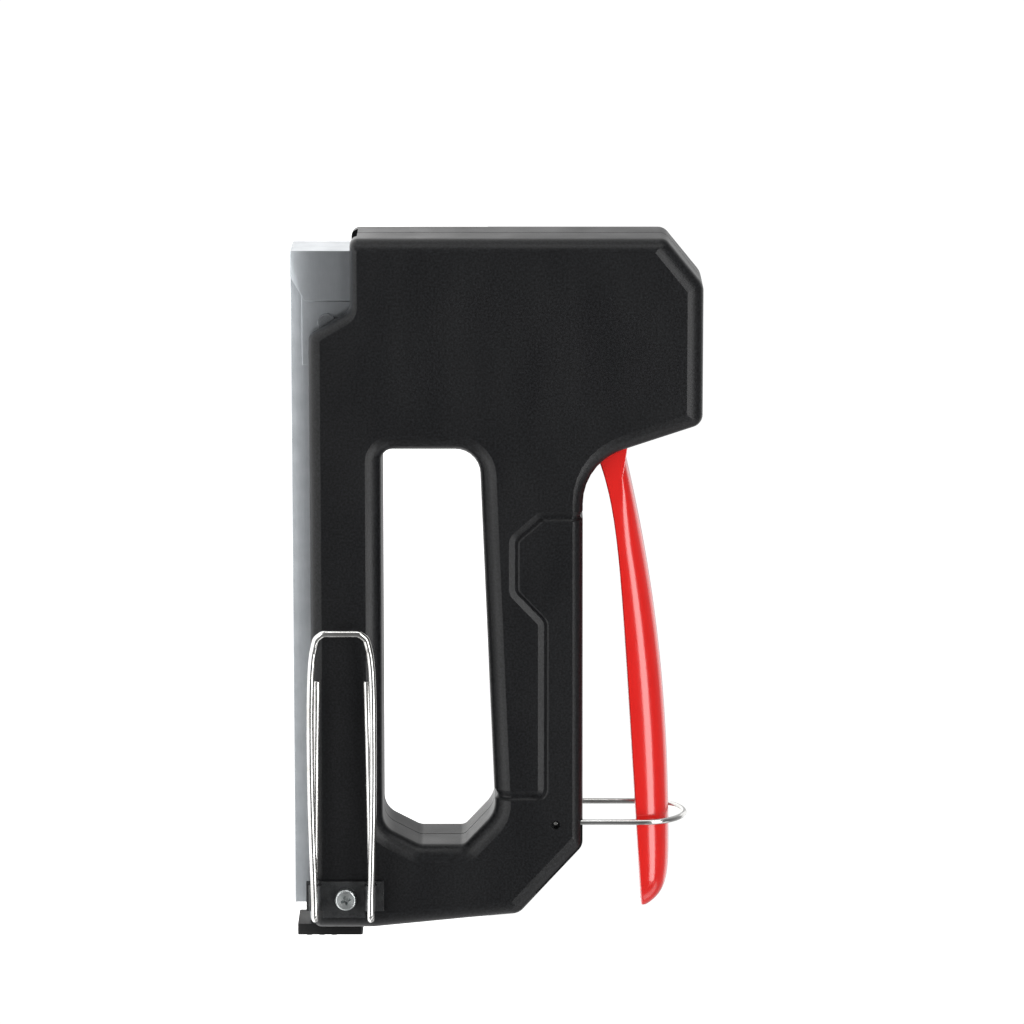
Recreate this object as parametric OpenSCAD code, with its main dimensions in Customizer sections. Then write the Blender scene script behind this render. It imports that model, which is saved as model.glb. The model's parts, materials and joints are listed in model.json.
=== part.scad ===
// Hand staple gun standing on its magazine. X runs back from the nose, Z runs up,
// and Y runs across. The origin is the centre of the staple exit, on the base plane.

/* [Body] */
// Thickness of the plastic outside the lock loop's slots
side_wall = 2; // [1.6:0.1:3]
// Distance from the staple exit back to the rear face of the body
body_rear_x = 188.6; // [180:0.1:230]
// Height of the top of the head
head_top_z = 114.2; // [110:0.1:140]
// Height of the top of the grip
grip_top_z = 81.2; // [78:0.1:82]
// Height of the body's lower edge above the base plane
skirt_z = 5; // [3:0.5:6]
// How far the plastic nose stands in front of the staple exit
nose_x = 6; // [5:0.5:9]
// Width of the rounded edge, measured in from the outline
edge_w = 3.2; // [2:0.2:4]
// Depth of the rounded edge, measured across the body
edge_d = 3.4; // [2:0.2:4]
// Width of the decorative groove on the grip
groove_w = 2.6; // [1.5:0.1:3]
// Depth of the decorative groove on the grip
groove_d = 0.7; // [0.3:0.1:1]

/* [Finger opening] */
// Front wall of the finger opening
open_x = 53.1; // [52:0.5:56]
// Height of the floor of the finger opening
open_z = 25; // [24:0.5:28]
// Distance from the opening's rear wall to the rear face of the body
rear_post = 22.2; // [20:0.1:26]

/* [Body screws] */
// Thread diameter of the body screws
screw_d = 2.9; // [2.5:0.1:3.2]
// Head diameter of the body screws
screw_head_d = 5.6; // [5:0.1:6]
// Length of the body screws under the head
screw_len = 15; // [12:0.5:16]

/* [Lever] */
// Thickness of the lever's steel sheet
lever_t = 1.5; // [1.2:0.1:1.5]
// Distance of the lever's tip ahead of the body's rear face
lever_tip_gap = 2.4; // [2:0.1:12]
// Diameter of the pin that the lever turns on
lever_pin_d = 6; // [5:0.5:6.5]
// Diameter of the pin that carries the lifting roller
lift_pin_d = 4; // [3:0.5:4.5]
// Diameter of the lifting roller
roller_d = 6; // [5.5:0.5:6.5]
// How far the lever turns from its locked place until it meets the grip
squeeze_deg = 7; // [5:0.5:7]

/* [Lock loop] */
// Wire diameter of the lock loop
loop_wire = 1.6; // [1.2:0.1:1.8]
// Gap between the lever's flanks and the lock loop
loop_gap = 1.5; // [1.2:0.1:2.5]
// Reach of the lock loop from its pivot to its wire's centre
loop_reach = 36.4; // [36:0.2:40]

/* [Belt clip] */
// Wire diameter of the belt clip
clip_wire = 2; // [1.5:0.1:2.2]
// Distance between the clip's two wires at its fixed end
clip_span = 15.7; // [14:0.1:16]
// Length of the belt clip
clip_len = 81; // [60:1:90]
// Thickness of the clip's mounting plate
plate_t = 1; // [0.8:0.1:1.2]

/* [Mechanism] */
// Inside width between the two side plates of the frame
frame_gap = 13.6; // [13.6:0.2:14]
// Thickness of the frame's steel sheet
frame_t = 1; // [0.8:0.1:1]
// Width of the driver blade
blade_w = 10.6; // [9.5:0.1:10.8]
// Thickness of the driver blade
blade_t = 1.2; // [1:0.1:1.3]
// Wire diameter of the drive spring
drive_wire = 2.2; // [1.6:0.1:2.4]
// Gap between the drive spring and the frame's side plates
drive_gap = 0.4; // [0.3:0.1:1]

/* [Magazine] */
// Height of the magazine channel
channel_h = 18; // [17:0.5:18.5]
// Thickness of the magazine channel's steel sheet
channel_t = 0.9; // [0.7:0.1:1]
// Width of the rail that the staples sit on
rail_w = 8; // [7:0.2:8.4]
// Wire diameter of the pusher spring
push_wire = 0.7; // [0.5:0.1:0.8]
// Length of the staple pusher
pusher_len = 14; // [10:0.5:18]

/* [Fits] */
// Clearance all round a pin in its bore
pin_fit = 0.05; // [0.02:0.01:0.08]
// Clearance between sheets and blocks that slide on each other
slide_fit = 0.1; // [0.1:0.05:0.2]
// Clearance between moving pieces that don't touch
free_fit = 0.3; // [0.3:0.1:0.5]

/* [Hidden] */

big = 400;
frame_half = frame_gap / 2 + frame_t;
ear_in = frame_half + free_fit;
lever_w = 2 * (ear_in + lever_t);
loop_r = lever_w / 2 + loop_gap + loop_wire / 2;
loop_slot_half = loop_wire / 2 + free_fit;
body_t = 2 * (loop_r + loop_slot_half + side_wall);
half_t = body_t / 2;
open_rear_x = body_rear_x - rear_post;
cavity_half = lever_w / 2 + 0.7;
drive_od = frame_gap - 2 * drive_gap;
blade_front_x = -blade_t / 2;
blade_rear_x = blade_t / 2;

// Lever pivot, lifting roller and the lift that the squeeze gives
pivot = [42, 88];
arm_len = 28;
arm_dip = squeeze_deg / 2;
lift_at = [pivot[0] - arm_len * cos(arm_dip), pivot[1] - arm_len * sin(arm_dip)];
lift = 2 * arm_len * sin(arm_dip);
lever_tip_x = body_rear_x - lever_tip_gap;

// Drive train heights
hammer_z = 44;
hammer_h = 8;
hammer_half = frame_gap / 2 - 1;
bar_half = hammer_half - 0.3;
lug_h = 3.2;
rivet_z = [hammer_z + hammer_h + 4, hammer_z + hammer_h + 11];
rivet_d = 3;
seat_z = 76;
seat_t = 2;
spring_x = 13;
bar_t = 2.8;
lug_z = lift_at[1] + roller_d / 2 + free_fit;
blade_tip_z = 10.5;
frame_top_z = head_top_z - 10.2;
frame_rear_x = 38.5;
shelf_z = 26;
nose_sheet = 1.5;
nose_back_x = blade_front_x - slide_fit;
nose_top_z = 98;
nose_flange = 1.2;
nose_half = frame_half + slide_fit + nose_flange;

// Magazine
channel_half = frame_gap / 2 - slide_fit;
channel_front_x = blade_rear_x + 0.3;
rail_top_z = channel_h - channel_t - 1.5;
rail_low_z = 4;
rail_front_x = channel_front_x + 0.4;
rail_rear_x = body_rear_x + 2.2;
rod_z = 9.5;
rod_d = 2;
push_od = 5.2;
pusher_x = rail_front_x + 0.5;
pusher_low_z = 2.6;
cap_h = channel_h + 1.4;
cap_t = 3.2;
magazine_rivet_at = [[18, 10], [26, 10]];

// Lock loop pivot and belt clip places
loop_at = [body_rear_x - 28.7, grip_top_z - 7.6];
clip_z = 13.8;
clip_bend_x = body_rear_x - 4.2;
clip_back_y = -half_t - plate_t - clip_wire / 2;
clip_turn_r = 2.2;
clip_screw_x = body_rear_x - 7.5;
clip_screw_z = 14.5;
clip_screw_len = 6.5;

// Body screws and the pockets in the grip
pocket_at = [82, 96, 118, 132];
screw_seat_y = 6.5;
screw_at = [[43.6, head_top_z - 10.2], [60, 68.5], [46.6, 35], [112.5, 69.2],
            [body_rear_x - 12.5, 58], [body_rear_x - 11, 31]];

// Outlines in X and Z
body_outline = [
    [-nose_x, 19], [-nose_x + 2, 16.5], [14, 16.5], [21, skirt_z], [body_rear_x - 0.5, skirt_z],
    [body_rear_x + 2, skirt_z + 3], [body_rear_x + 2, 22], [body_rear_x + 0.4, 36],
    [body_rear_x - 0.7, grip_top_z - 32.5], [body_rear_x - 1.8, grip_top_z - 20.1],
    [body_rear_x - 3.8, grip_top_z - 16.2], [body_rear_x - 20.4, grip_top_z - 1.1],
    [body_rear_x - 22.6, grip_top_z], [75.5, grip_top_z], [68.1, grip_top_z - 0.2],
    [63.2, grip_top_z + 0.6], [58.8, grip_top_z + 2.9], [55.4, grip_top_z + 6.4],
    [53.4, grip_top_z + 11], [46.9, head_top_z - 2.6], [43.2, head_top_z],
    [8.5, head_top_z], [5.3, head_top_z - 1.3], [-5, head_top_z - 9.7],
    [-nose_x, head_top_z - 12]];

opening_outline = [
    [open_x, open_z + 3], [open_x + 0.9, open_z + 0.9], [open_x + 3, open_z],
    [open_rear_x - 7, open_z], [open_rear_x - 4, open_z + 2.4], [open_rear_x - 0.2, open_z + 9.6],
    [open_rear_x, grip_top_z - 33.4], [open_rear_x - 8, grip_top_z - 25.9],
    [open_rear_x - 11.5, grip_top_z - 24.7], [open_x + 7.9, grip_top_z - 28.7],
    [open_x + 4.5, grip_top_z - 29.4], [open_x + 1.6, grip_top_z - 31.3],
    [open_x, grip_top_z - 34.9]];

mechanism_room = [
    [nose_back_x - nose_sheet - 0.2, -1], [nose_back_x - nose_sheet - 0.2, head_top_z - 14],
    [7, head_top_z - 6.2], [36, head_top_z - 6.2], [38.5, 97], [66, 95.5], [66, 82.4],
    [57, 79.8], [47, 77.5], [40, 77], [40, -1]];

groove_path = [
    [71.6, grip_top_z + 1], [71.6, grip_top_z - 11.9], [78.1, grip_top_z - 19.3],
    [93.2, grip_top_z - 19.3], [101.7, grip_top_z - 11.2], [open_rear_x - 17, grip_top_z - 11.2],
    [open_rear_x - 14.8, grip_top_z - 13.4], [open_rear_x - 14.8, grip_top_z - 26.5]];

// Places a flat outline drawn in X and Z so that it spans y0 to y1
module across(y0, y1) {
    translate([0, y1, 0]) rotate([90, 0, 0]) linear_extrude(y1 - y0) children();
}

// A round bar along Y at a place given in X and Z
module bar_y(at, y0, y1, d) {
    translate([at[0], y1, at[1]]) rotate([90, 0, 0]) cylinder(d = d, h = y1 - y0, $fn = 48);
}

// Copies its children onto both sides of the middle plane
module both_sides() {
    children();
    mirror([0, 1, 0]) children();
}

// A wire swept along a list of points, with flat ends
function unit(v) = v / norm(v);
function heading(p, i) = unit(p[min(i + 1, len(p) - 1)] - p[max(i - 1, 0)]);
function wire_ring(p, i, r, sides, up) =
    let (t = heading(p, i), a = unit(cross(t, up)), b = cross(t, a))
    [for (k = [0:sides - 1]) p[i] + r * (cos(360 * k / sides) * a + sin(360 * k / sides) * b)];

module wire(p, d, sides = 8, up = [1, 1, 1]) {
    n = len(p);
    points = [for (i = [0:n - 1]) each wire_ring(p, i, d / 2, sides, up)];
    walls = [for (i = [0:n - 2], k = [0:sides - 1])
        let (k2 = (k + 1) % sides, here = i * sides, next = here + sides)
        each [[here + k, next + k2, here + k2], [here + k, next + k, next + k2]]];
    first = [for (k = [0:sides - 1]) k];
    last = [for (k = [0:sides - 1]) n * sides - 1 - k];
    polyhedron(points, concat([first], walls, [last]));
}

// Points of a coil about the X axis
function coil(length, r, turns, steps) =
    [for (i = [0:turns * steps]) let (a = 360 * i / steps)
        [length * i / (turns * steps), r * cos(a), r * sin(a)]];

// A pan head with a cross recess, standing along +Y from the origin
module pan_head(d, h) {
    difference() {
        rotate([-90, 0, 0]) union() {
            cylinder(d = d, h = h * 0.55, $fn = 48);
            translate([0, 0, h * 0.55]) cylinder(d1 = d, d2 = d * 0.72, h = h * 0.45, $fn = 48);
        }
        for (a = [0, 90]) rotate([0, a, 0])
            translate([-d * 0.29, h * 0.35, -d * 0.06]) cube([d * 0.58, h, d * 0.12]);
    }
}

// Ring-shaped cutter that rounds one outline's edge on the -Y face. Its section follows
// the outline at each corner's mitre, and side is 1 where the material lies to the left.
function normal(a, b) = let (d = unit(b - a)) [-d[1], d[0]];
function mitre(p, i) =
    let (n = len(p), n1 = normal(p[(i + n - 1) % n], p[i]), n2 = normal(p[i], p[(i + 1) % n]))
    (n1 + n2) / (1 + n1 * n2);

module edge_cutter(outline, side) {
    section = [[edge_w, -half_t], [edge_w * 0.4, -half_t + edge_d * 0.27],
               [0, -half_t + edge_d], [-2, -half_t + edge_d], [-2, -half_t - 2],
               [edge_w, -half_t - 2]];
    n = len(outline);
    m = len(section);
    points = [for (i = [0:n - 1], s = section)
        let (at = outline[i] + side * s[0] * mitre(outline, i)) [at[0], s[1], at[1]]];
    faces = [for (i = [0:n - 1], j = [0:m - 1])
        let (a = i * m + j, b = i * m + (j + 1) % m,
             c = ((i + 1) % n) * m + (j + 1) % m, d = ((i + 1) % n) * m + j)
        each side > 0 ? [[a, b, c], [a, c, d]] : [[a, c, b], [a, d, c]]];
    polyhedron(points, faces);
}

// Outer form of the -Y half with its rounded edges
module body_form() {
    difference() {
        across(-half_t, 0) difference() {
            polygon(body_outline);
            polygon(opening_outline);
        }
        edge_cutter(body_outline, 1);
        edge_cutter(opening_outline, -1);
    }
}

// The groove on one side of the grip, cut as one square channel per straight run
module grip_groove() {
    for (i = [0:len(groove_path) - 2]) {
        a = groove_path[i];
        b = groove_path[i + 1];
        turn = atan2(b[1] - a[1], b[0] - a[0]);
        translate([a[0], 0, a[1]]) rotate([0, -turn, 0])
            translate([-groove_w / 2, -half_t - 1, -groove_w / 2])
                cube([norm(b - a) + groove_w, groove_d + 1, groove_w]);
    }
}

// Pockets in the grip that leave ribs between them
module grip_pockets() {
    for (x = pocket_at)
        translate([x, -half_t + 4, grip_top_z - 17.5]) cube([11, big, 12]);
}

// Slot in which one arm of the lock loop swings
module loop_slot() {
    gap = loop_slot_half;
    across(-loop_r - gap, -loop_r + gap) translate(loop_at) polygon([
        [-gap, -gap], [-gap, 20], [40, 20], [40, -9.5], [gap, -gap - 0.6]]);
}

// One body half, on the -Y side, before its screw features
module half_shell() {
    difference() {
        body_form();
        across(-cavity_half, 1) polygon(mechanism_room);
        translate([-nose_x, -channel_half - slide_fit, -1])
            cube([body_rear_x + 20, big, channel_h + 1.4]);
        translate([body_rear_x - 3.2, -channel_half - 1.4, -1]) cube([20, big, cap_h + 1.3]);
        translate([0, -frame_half - 1.5, -1]) cube([30.5, big, channel_h + 1.4]);
        grip_groove();
        grip_pockets();
        loop_slot();
        bar_y(pivot, -cavity_half - 2.2, 1, lever_pin_d + 2 * pin_fit);
        bar_y(loop_at, -half_t - 1, -loop_r, loop_wire + 2 * pin_fit);
        bar_y(loop_at, -half_t - 1, -half_t + 1.4, loop_wire + 0.9);
    }
}

module body_left() {
    color([0.09, 0.09, 0.10]) difference() {
        half_shell();
        for (p = screw_at) bar_y(p, screw_seat_y - screw_len - 0.5, 1, screw_d + 2 * pin_fit);
        bar_y([clip_screw_x, clip_screw_z], -half_t - 1, -half_t + clip_screw_len + 0.5,
              screw_d + 2 * pin_fit);
    }
}

module body_right() {
    color([0.09, 0.09, 0.10]) difference() {
        mirror([0, 1, 0]) half_shell();
        for (p = screw_at) {
            bar_y(p, -1, half_t + 1, screw_d + 0.4);
            bar_y(p, screw_seat_y, half_t + 1, screw_head_d + 0.6);
        }
    }
}

module body_screws() {
    color([0.75, 0.76, 0.78]) for (p = screw_at) {
        bar_y(p, screw_seat_y - screw_len, screw_seat_y, screw_d);
        translate([p[0], screw_seat_y, p[1]]) pan_head(screw_head_d, 2.2);
    }
}

// Steel frame that guides the plunger and holds the lever pin
module frame_side() {
    difference() {
        across(-frame_half, -frame_gap / 2) polygon([
            [blade_rear_x, 3], [30, 3], [30, 19], [frame_rear_x, 24], [frame_rear_x, 77],
            [pivot[0] + 5.5, pivot[1] - 5], [pivot[0] + 5.5, pivot[1] + 3],
            [pivot[0] - 1, pivot[1] + 7], [35, 99], [32, frame_top_z],
            [blade_rear_x + 3.5, frame_top_z], [blade_rear_x, frame_top_z - 3]]);
        bar_y(pivot, -frame_half - 1, 0, lever_pin_d + 2 * pin_fit);
        for (dz = [0, lift])
            bar_y([lift_at[0], lift_at[1] + dz], -frame_half - 1, 0, lift_pin_d + 4 * free_fit);
        translate([lift_at[0] - lift_pin_d / 2 - 2 * free_fit, -frame_half - 1, lift_at[1]])
            cube([lift_pin_d + 4 * free_fit, frame_t + 2, lift]);
        for (p = magazine_rivet_at) bar_y(p, -frame_half - 1, 0, rivet_d);
    }
}

module mechanism_frame() {
    color([0.62, 0.63, 0.65]) {
        both_sides() frame_side();
        translate([blade_rear_x + 3.5, -frame_gap / 2, frame_top_z - frame_t])
            cube([27.5, frame_gap, frame_t]);
        translate([frame_rear_x - frame_t, -frame_gap / 2, shelf_z])
            cube([frame_t, frame_gap, 48]);
        translate([blade_rear_x + bar_t + 1, -frame_gap / 2, shelf_z])
            cube([frame_rear_x - blade_rear_x - bar_t - 1, frame_gap, frame_t]);
    }
}

// Steel nose that closes the blade's guide at the front
module nose_plate() {
    color([0.66, 0.67, 0.69]) {
        translate([nose_back_x - nose_sheet, -nose_half, 0])
            cube([nose_sheet, 2 * nose_half, nose_top_z]);
        both_sides() across(-nose_half, -nose_half + nose_flange) polygon([
            [nose_back_x - nose_sheet, 0], [5, 0], [12, 4], [12, 52], [6, 60],
            [nose_back_x - nose_sheet, 60]]);
    }
}

// Hammer with the bar that carries the blade and the lug that the roller lifts
module driver_plunger() {
    color([0.45, 0.46, 0.48]) {
        translate([blade_rear_x, -hammer_half, hammer_z]) cube([20, 2 * hammer_half, hammer_h]);
        difference() {
            translate([blade_rear_x, -bar_half, hammer_z - 0.01 + hammer_h])
                cube([bar_t, 2 * bar_half, lug_z + lug_h - hammer_z - hammer_h]);
            for (z = rivet_z) translate([blade_rear_x - 1, 0, z]) rotate([0, 90, 0])
                cylinder(d = rivet_d, h = bar_t + 2, $fn = 32);
        }
        translate([blade_rear_x, -hammer_half, lug_z]) cube([17, 2 * hammer_half, lug_h]);
    }
}

// Blade that drives the staple
module driver_blade() {
    color([0.70, 0.71, 0.73]) difference() {
        translate([blade_front_x, -blade_w / 2, blade_tip_z])
            cube([blade_t, blade_w, rivet_z[1] + 4 - blade_tip_z]);
        for (z = rivet_z) translate([blade_front_x - 1, 0, z]) rotate([0, 90, 0])
            cylinder(d = rivet_d, h = blade_t + 2, $fn = 32);
    }
}

// Rivets that hold the blade on the plunger, flush at the front
module blade_rivets() {
    color([0.60, 0.60, 0.62]) for (z = rivet_z)
        translate([blade_front_x, 0, z]) rotate([0, 90, 0]) {
            cylinder(d = rivet_d, h = blade_t + bar_t, $fn = 32);
            translate([0, 0, blade_t + bar_t]) cylinder(d = rivet_d + 1.4, h = 0.7, $fn = 32);
        }
}

// Main spring between the hammer and its fixed seat
module drive_spring() {
    gap = 0.05;
    bottom = hammer_z + hammer_h + drive_wire / 2 + gap;
    span = seat_z - drive_wire / 2 - gap - bottom;
    color([0.35, 0.36, 0.38]) translate([spring_x, 0, bottom]) rotate([0, -90, 0])
        wire(coil(span, (drive_od - drive_wire) / 2, 6, 14), drive_wire, 8, [1, 0, 0]);
}

// Steel plate that the main spring pushes against, tabbed into the frame
module spring_seat() {
    color([0.55, 0.56, 0.58]) difference() {
        translate([blade_rear_x + bar_t + 1, -frame_gap / 2, seat_z]) cube([20, frame_gap, seat_t]);
        translate([spring_x, 0, seat_z - 1]) cylinder(d = 5, h = seat_t + 2, $fn = 32);
    }
}

module bumper() {
    color([0.15, 0.15, 0.15])
        translate([blade_rear_x + bar_t + 2, -hammer_half, shelf_z + frame_t])
            cube([14, 2 * hammer_half, 7]);
}

// Lever: a pressed channel, open towards the grip, with two ears round the pivot
lever_stations = 16;
lever_root_x = 50;
function lever_x(i) = lever_root_x + (lever_tip_x - lever_root_x)
    * (i < 9 ? i * 0.1 : 1 - 0.2 * pow(1 - (i - 8) / (lever_stations - 8), 1.7));
function along(x) = (x - lever_root_x) / (lever_tip_x - lever_root_x);
function crest_z(x) = let (s = along(x))
    91.4 + 34.8 * s - 21.7 * s * s + 1.6 * pow(s, 8) - 6.1 * pow(s, 34);
function lower_z(x) = let (s = along(x)) 89.7 + 8.6 * s - 9.5 * exp(-8 * s);
function half_w(x) = let (s = along(x))
    lever_w / 2 * (1 - 0.04 * sin(180 * s)) * sqrt(1 - 0.84 * pow(s, 20));
function arch(x, cut, k, n) =
    let (a = 180 * k / n, w = half_w(x) - cut, top = crest_z(x) - cut, low = lower_z(x))
    [x, w * sign(cos(a)) * pow(abs(cos(a)), 0.62), low + (top - low) * pow(sin(a), 0.72)];

module lever_channel() {
    n = 14;
    m = 2 * (n + 1);
    points = [for (i = [0:lever_stations]) let (x = lever_x(i))
        each concat([for (k = [0:n]) arch(x, 0, k, n)], [for (k = [n:-1:0]) arch(x, lever_t, k, n)])];
    skin = [for (i = [0:lever_stations - 1], k = [0:m - 1]) let (k2 = (k + 1) % m)
        [i * m + k, (i + 1) * m + k, (i + 1) * m + k2, i * m + k2]];
    end = lever_stations * m;
    caps = [for (k = [0:n - 1]) each [
        [k, k + 1, m - 2 - k, m - 1 - k],
        [end + k + 1, end + k, end + m - 1 - k, end + m - 2 - k]]];
    polyhedron(points, concat(skin, caps));
}

module lever_ear() {
    difference() {
        union() {
            across(-lever_w / 2, -ear_in) polygon([
                [lift_at[0], lift_at[1] + 4.5], [pivot[0] - 8, pivot[1] + 6.5], [lever_root_x, 91],
                [64, crest_z(64) - 4.2], [66.5, crest_z(66.5) - 5.6], [66.5, lower_z(66.5) + 0.4],
                [56, lower_z(56)], [pivot[0], pivot[1] - 7], [lift_at[0], lift_at[1] - 4.5]]);
            bar_y(lift_at, -lever_w / 2, -ear_in, 9);
            bar_y(pivot, -lever_w / 2, -ear_in, 14);
        }
        bar_y(pivot, -lever_w / 2 - 1, 0, lever_pin_d + 2 * pin_fit);
        bar_y(lift_at, -lever_w / 2 - 1, 0, lift_pin_d + 2 * pin_fit);
    }
}

module lever() {
    color([0.85, 0.06, 0.08]) {
        lever_channel();
        both_sides() lever_ear();
    }
}

module lever_pin() {
    color([0.70, 0.71, 0.73]) bar_y(pivot, -cavity_half - 2, cavity_half + 2, lever_pin_d);
}

module lift_pin() {
    color([0.70, 0.71, 0.73]) bar_y(lift_at, -lever_w / 2, lever_w / 2, lift_pin_d);
}

module lift_roller() {
    color([0.55, 0.56, 0.58]) difference() {
        bar_y(lift_at, -5.5, 5.5, roller_d);
        bar_y(lift_at, -6, 6, lift_pin_d + 2 * pin_fit);
    }
}

// Torsion spring wound round the lever pin, with one leg under the lever
module lever_spring() {
    wire_d = 1.2;
    r = lever_pin_d / 2 + free_fit + wire_d / 2;
    turns = 5;
    steps = 12;
    coil_len = 8;
    end_turn = 60;
    leg_reach = [2.25, 0, 3.9];
    rest_leg = [[pivot[0] - 8, -coil_len / 2, pivot[1] - r]];
    turn = [for (i = [0:turns * steps + end_turn * steps / 360]) let (a = 270 + 360 * i / steps)
        [pivot[0] + r * cos(a), -coil_len / 2 + coil_len * i / (turns * steps),
         pivot[1] + r * sin(a)]];
    lift_leg = [turn[len(turn) - 1] + leg_reach];
    color([0.60, 0.61, 0.63]) wire(concat(rest_leg, turn, lift_leg), wire_d, 6, [0, 1, 0.01]);
}

// Magazine channel, open downwards
module magazine_channel() {
    color([0.72, 0.73, 0.75]) difference() {
        translate([channel_front_x, -channel_half, 0])
            cube([body_rear_x - 4 - channel_front_x, 2 * channel_half, channel_h]);
        translate([channel_front_x - 1, -channel_half + channel_t, -1])
            cube([big, 2 * (channel_half - channel_t), channel_h - channel_t + 1]);
        for (p = magazine_rivet_at) bar_y(p, -big / 2, big / 2, rivet_d);
    }
}

module magazine_rivets() {
    color([0.60, 0.61, 0.63]) for (p = magazine_rivet_at) both_sides() {
        bar_y(p, -frame_half, -channel_half + channel_t, rivet_d);
        bar_y(p, -frame_half - 0.9, -frame_half, rivet_d + 2);
    }
}

// Sliding rail that carries the staples, closed at its rear
module staple_rail() {
    wall = 0.8;
    color([0.68, 0.69, 0.71]) difference() {
        translate([rail_front_x, -rail_w / 2, rail_low_z])
            cube([rail_rear_x - rail_front_x, rail_w, rail_top_z - rail_low_z]);
        translate([rail_front_x + wall, -rail_w / 2 + wall, rail_low_z - 1])
            cube([rail_rear_x - rail_front_x - 2 * wall, rail_w - 2 * wall,
                  rail_top_z - rail_low_z - wall + 1]);
        translate([rail_front_x - 1, 0, rod_z]) rotate([0, 90, 0])
            cylinder(d = rod_d, h = 4, $fn = 32);
        translate([rail_rear_x - 3, 0, rod_z]) rotate([0, 90, 0])
            cylinder(d = rod_d, h = 4, $fn = 32);
    }
}

module pusher_rod() {
    color([0.70, 0.71, 0.73]) translate([rail_front_x, 0, rod_z]) rotate([0, 90, 0])
        cylinder(d = rod_d, h = rail_rear_x - rail_front_x, $fn = 32);
}

// Pusher that straddles the rail and reaches up inside it to the spring
module staple_pusher() {
    in_half = rail_w / 2 + slide_fit + 0.05;
    out_half = channel_half - channel_t - 0.2;
    top = channel_h - channel_t - 0.2;
    color([0.58, 0.59, 0.61]) {
        difference() {
            translate([pusher_x, -out_half, pusher_low_z])
                cube([pusher_len, 2 * out_half, top - pusher_low_z]);
            translate([pusher_x - 1, -in_half, pusher_low_z + 1.1])
                cube([pusher_len + 2, 2 * in_half, rail_top_z + slide_fit + 0.05 - pusher_low_z - 1.1]);
        }
        difference() {
            translate([pusher_x + 1, -2.8, pusher_low_z + 1]) cube([pusher_len - 2, 5.6, 10.4]);
            translate([pusher_x - 1, 0, rod_z]) rotate([0, 90, 0])
                cylinder(d = rod_d + 2 * slide_fit, h = pusher_len + 2, $fn = 32);
        }
    }
}

module pusher_spring() {
    start = pusher_x + pusher_len - 1 + push_wire / 2 + 0.05;
    stop = rail_rear_x - 0.8 - push_wire / 2 - 0.05;
    color([0.65, 0.66, 0.68]) translate([start, 0, rod_z])
        wire(coil(stop - start, (push_od - push_wire) / 2, 34, 8), push_wire, 4, [1, 0, 0]);
}

// Pull at the rear end of the rail
module rail_end_cap() {
    color([0.16, 0.16, 0.17]) difference() {
        union() {
            translate([rail_rear_x, -channel_half - 1, 0.6])
                cube([cap_t, 2 * channel_half + 2, cap_h - 1]);
            for (z = [3, 6.5, 10]) translate([rail_rear_x + cap_t, -5.5, z]) cube([0.8, 11, 1.6]);
        }
        translate([rail_rear_x - 1, 0, 15]) rotate([0, 90, 0]) cylinder(d = 2, h = 10, $fn = 32);
    }
}

// Rivet that holds the pull on the rail
module end_cap_rivet() {
    color([0.70, 0.71, 0.73]) translate([rail_rear_x, 0, 15]) rotate([0, 90, 0]) {
        cylinder(d = 2, h = cap_t, $fn = 32);
        translate([0, 0, cap_t]) cylinder(d = 4, h = 0.8, $fn = 32);
    }
}

// Wire loop that swings over the lever to hold it down
module lock_loop() {
    bend = 0.01;
    arm = loop_reach - loop_r;
    color([0.78, 0.78, 0.80]) translate([loop_at[0], 0, loop_at[1]]) {
        translate([0, 0, arm]) rotate([0, -90, 0]) rotate([0, 0, -90])
            rotate_extrude(angle = 180, $fn = 64)
                translate([loop_r, 0]) circle(d = loop_wire, $fn = 32);
        both_sides() {
            translate([0, -loop_r, 0]) cylinder(d = loop_wire, h = arm + bend, $fn = 32);
            translate([0, -loop_r, 0]) sphere(d = loop_wire, $fn = 32);
            bar_y([0, 0], -half_t + 1.6, -loop_r, loop_wire);
        }
    }
}

// Wire belt clip, folded back on itself at the rear and joined by a bar in front
function clip_side(s) =
    let (half = clip_span / 2, front_y = clip_back_y - 2 * clip_turn_r,
         end_x = clip_bend_x - clip_len)
    concat(
        [[end_x + 14.7, clip_back_y, clip_z + s * (half - 0.9)],
         [clip_bend_x - 16, clip_back_y, clip_z + s * half]],
        [for (a = [90:-22.5:-90]) [clip_bend_x - clip_turn_r + 1.6 + clip_turn_r * cos(a),
            clip_back_y - clip_turn_r + clip_turn_r * sin(a), clip_z + s * half]],
        [[end_x + 28, front_y - 0.3, clip_z + s * (half + 0.8)],
         [end_x + 12, front_y + 1.9, clip_z + s * (half + 0.6)],
         [end_x + 4, front_y + 0.9, clip_z + s * (half - 0.2)],
         [end_x + 1.4, front_y + 0.4, clip_z + s * (half - 0.9)],
         [end_x, front_y, clip_z + s * (half - 2.6)]]);

function backwards(p) = [for (i = [len(p) - 1:-1:0]) p[i]];

module belt_clip() {
    color([0.80, 0.80, 0.82]) wire(concat(clip_side(-1), backwards(clip_side(1))), clip_wire, 10);
}

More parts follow.
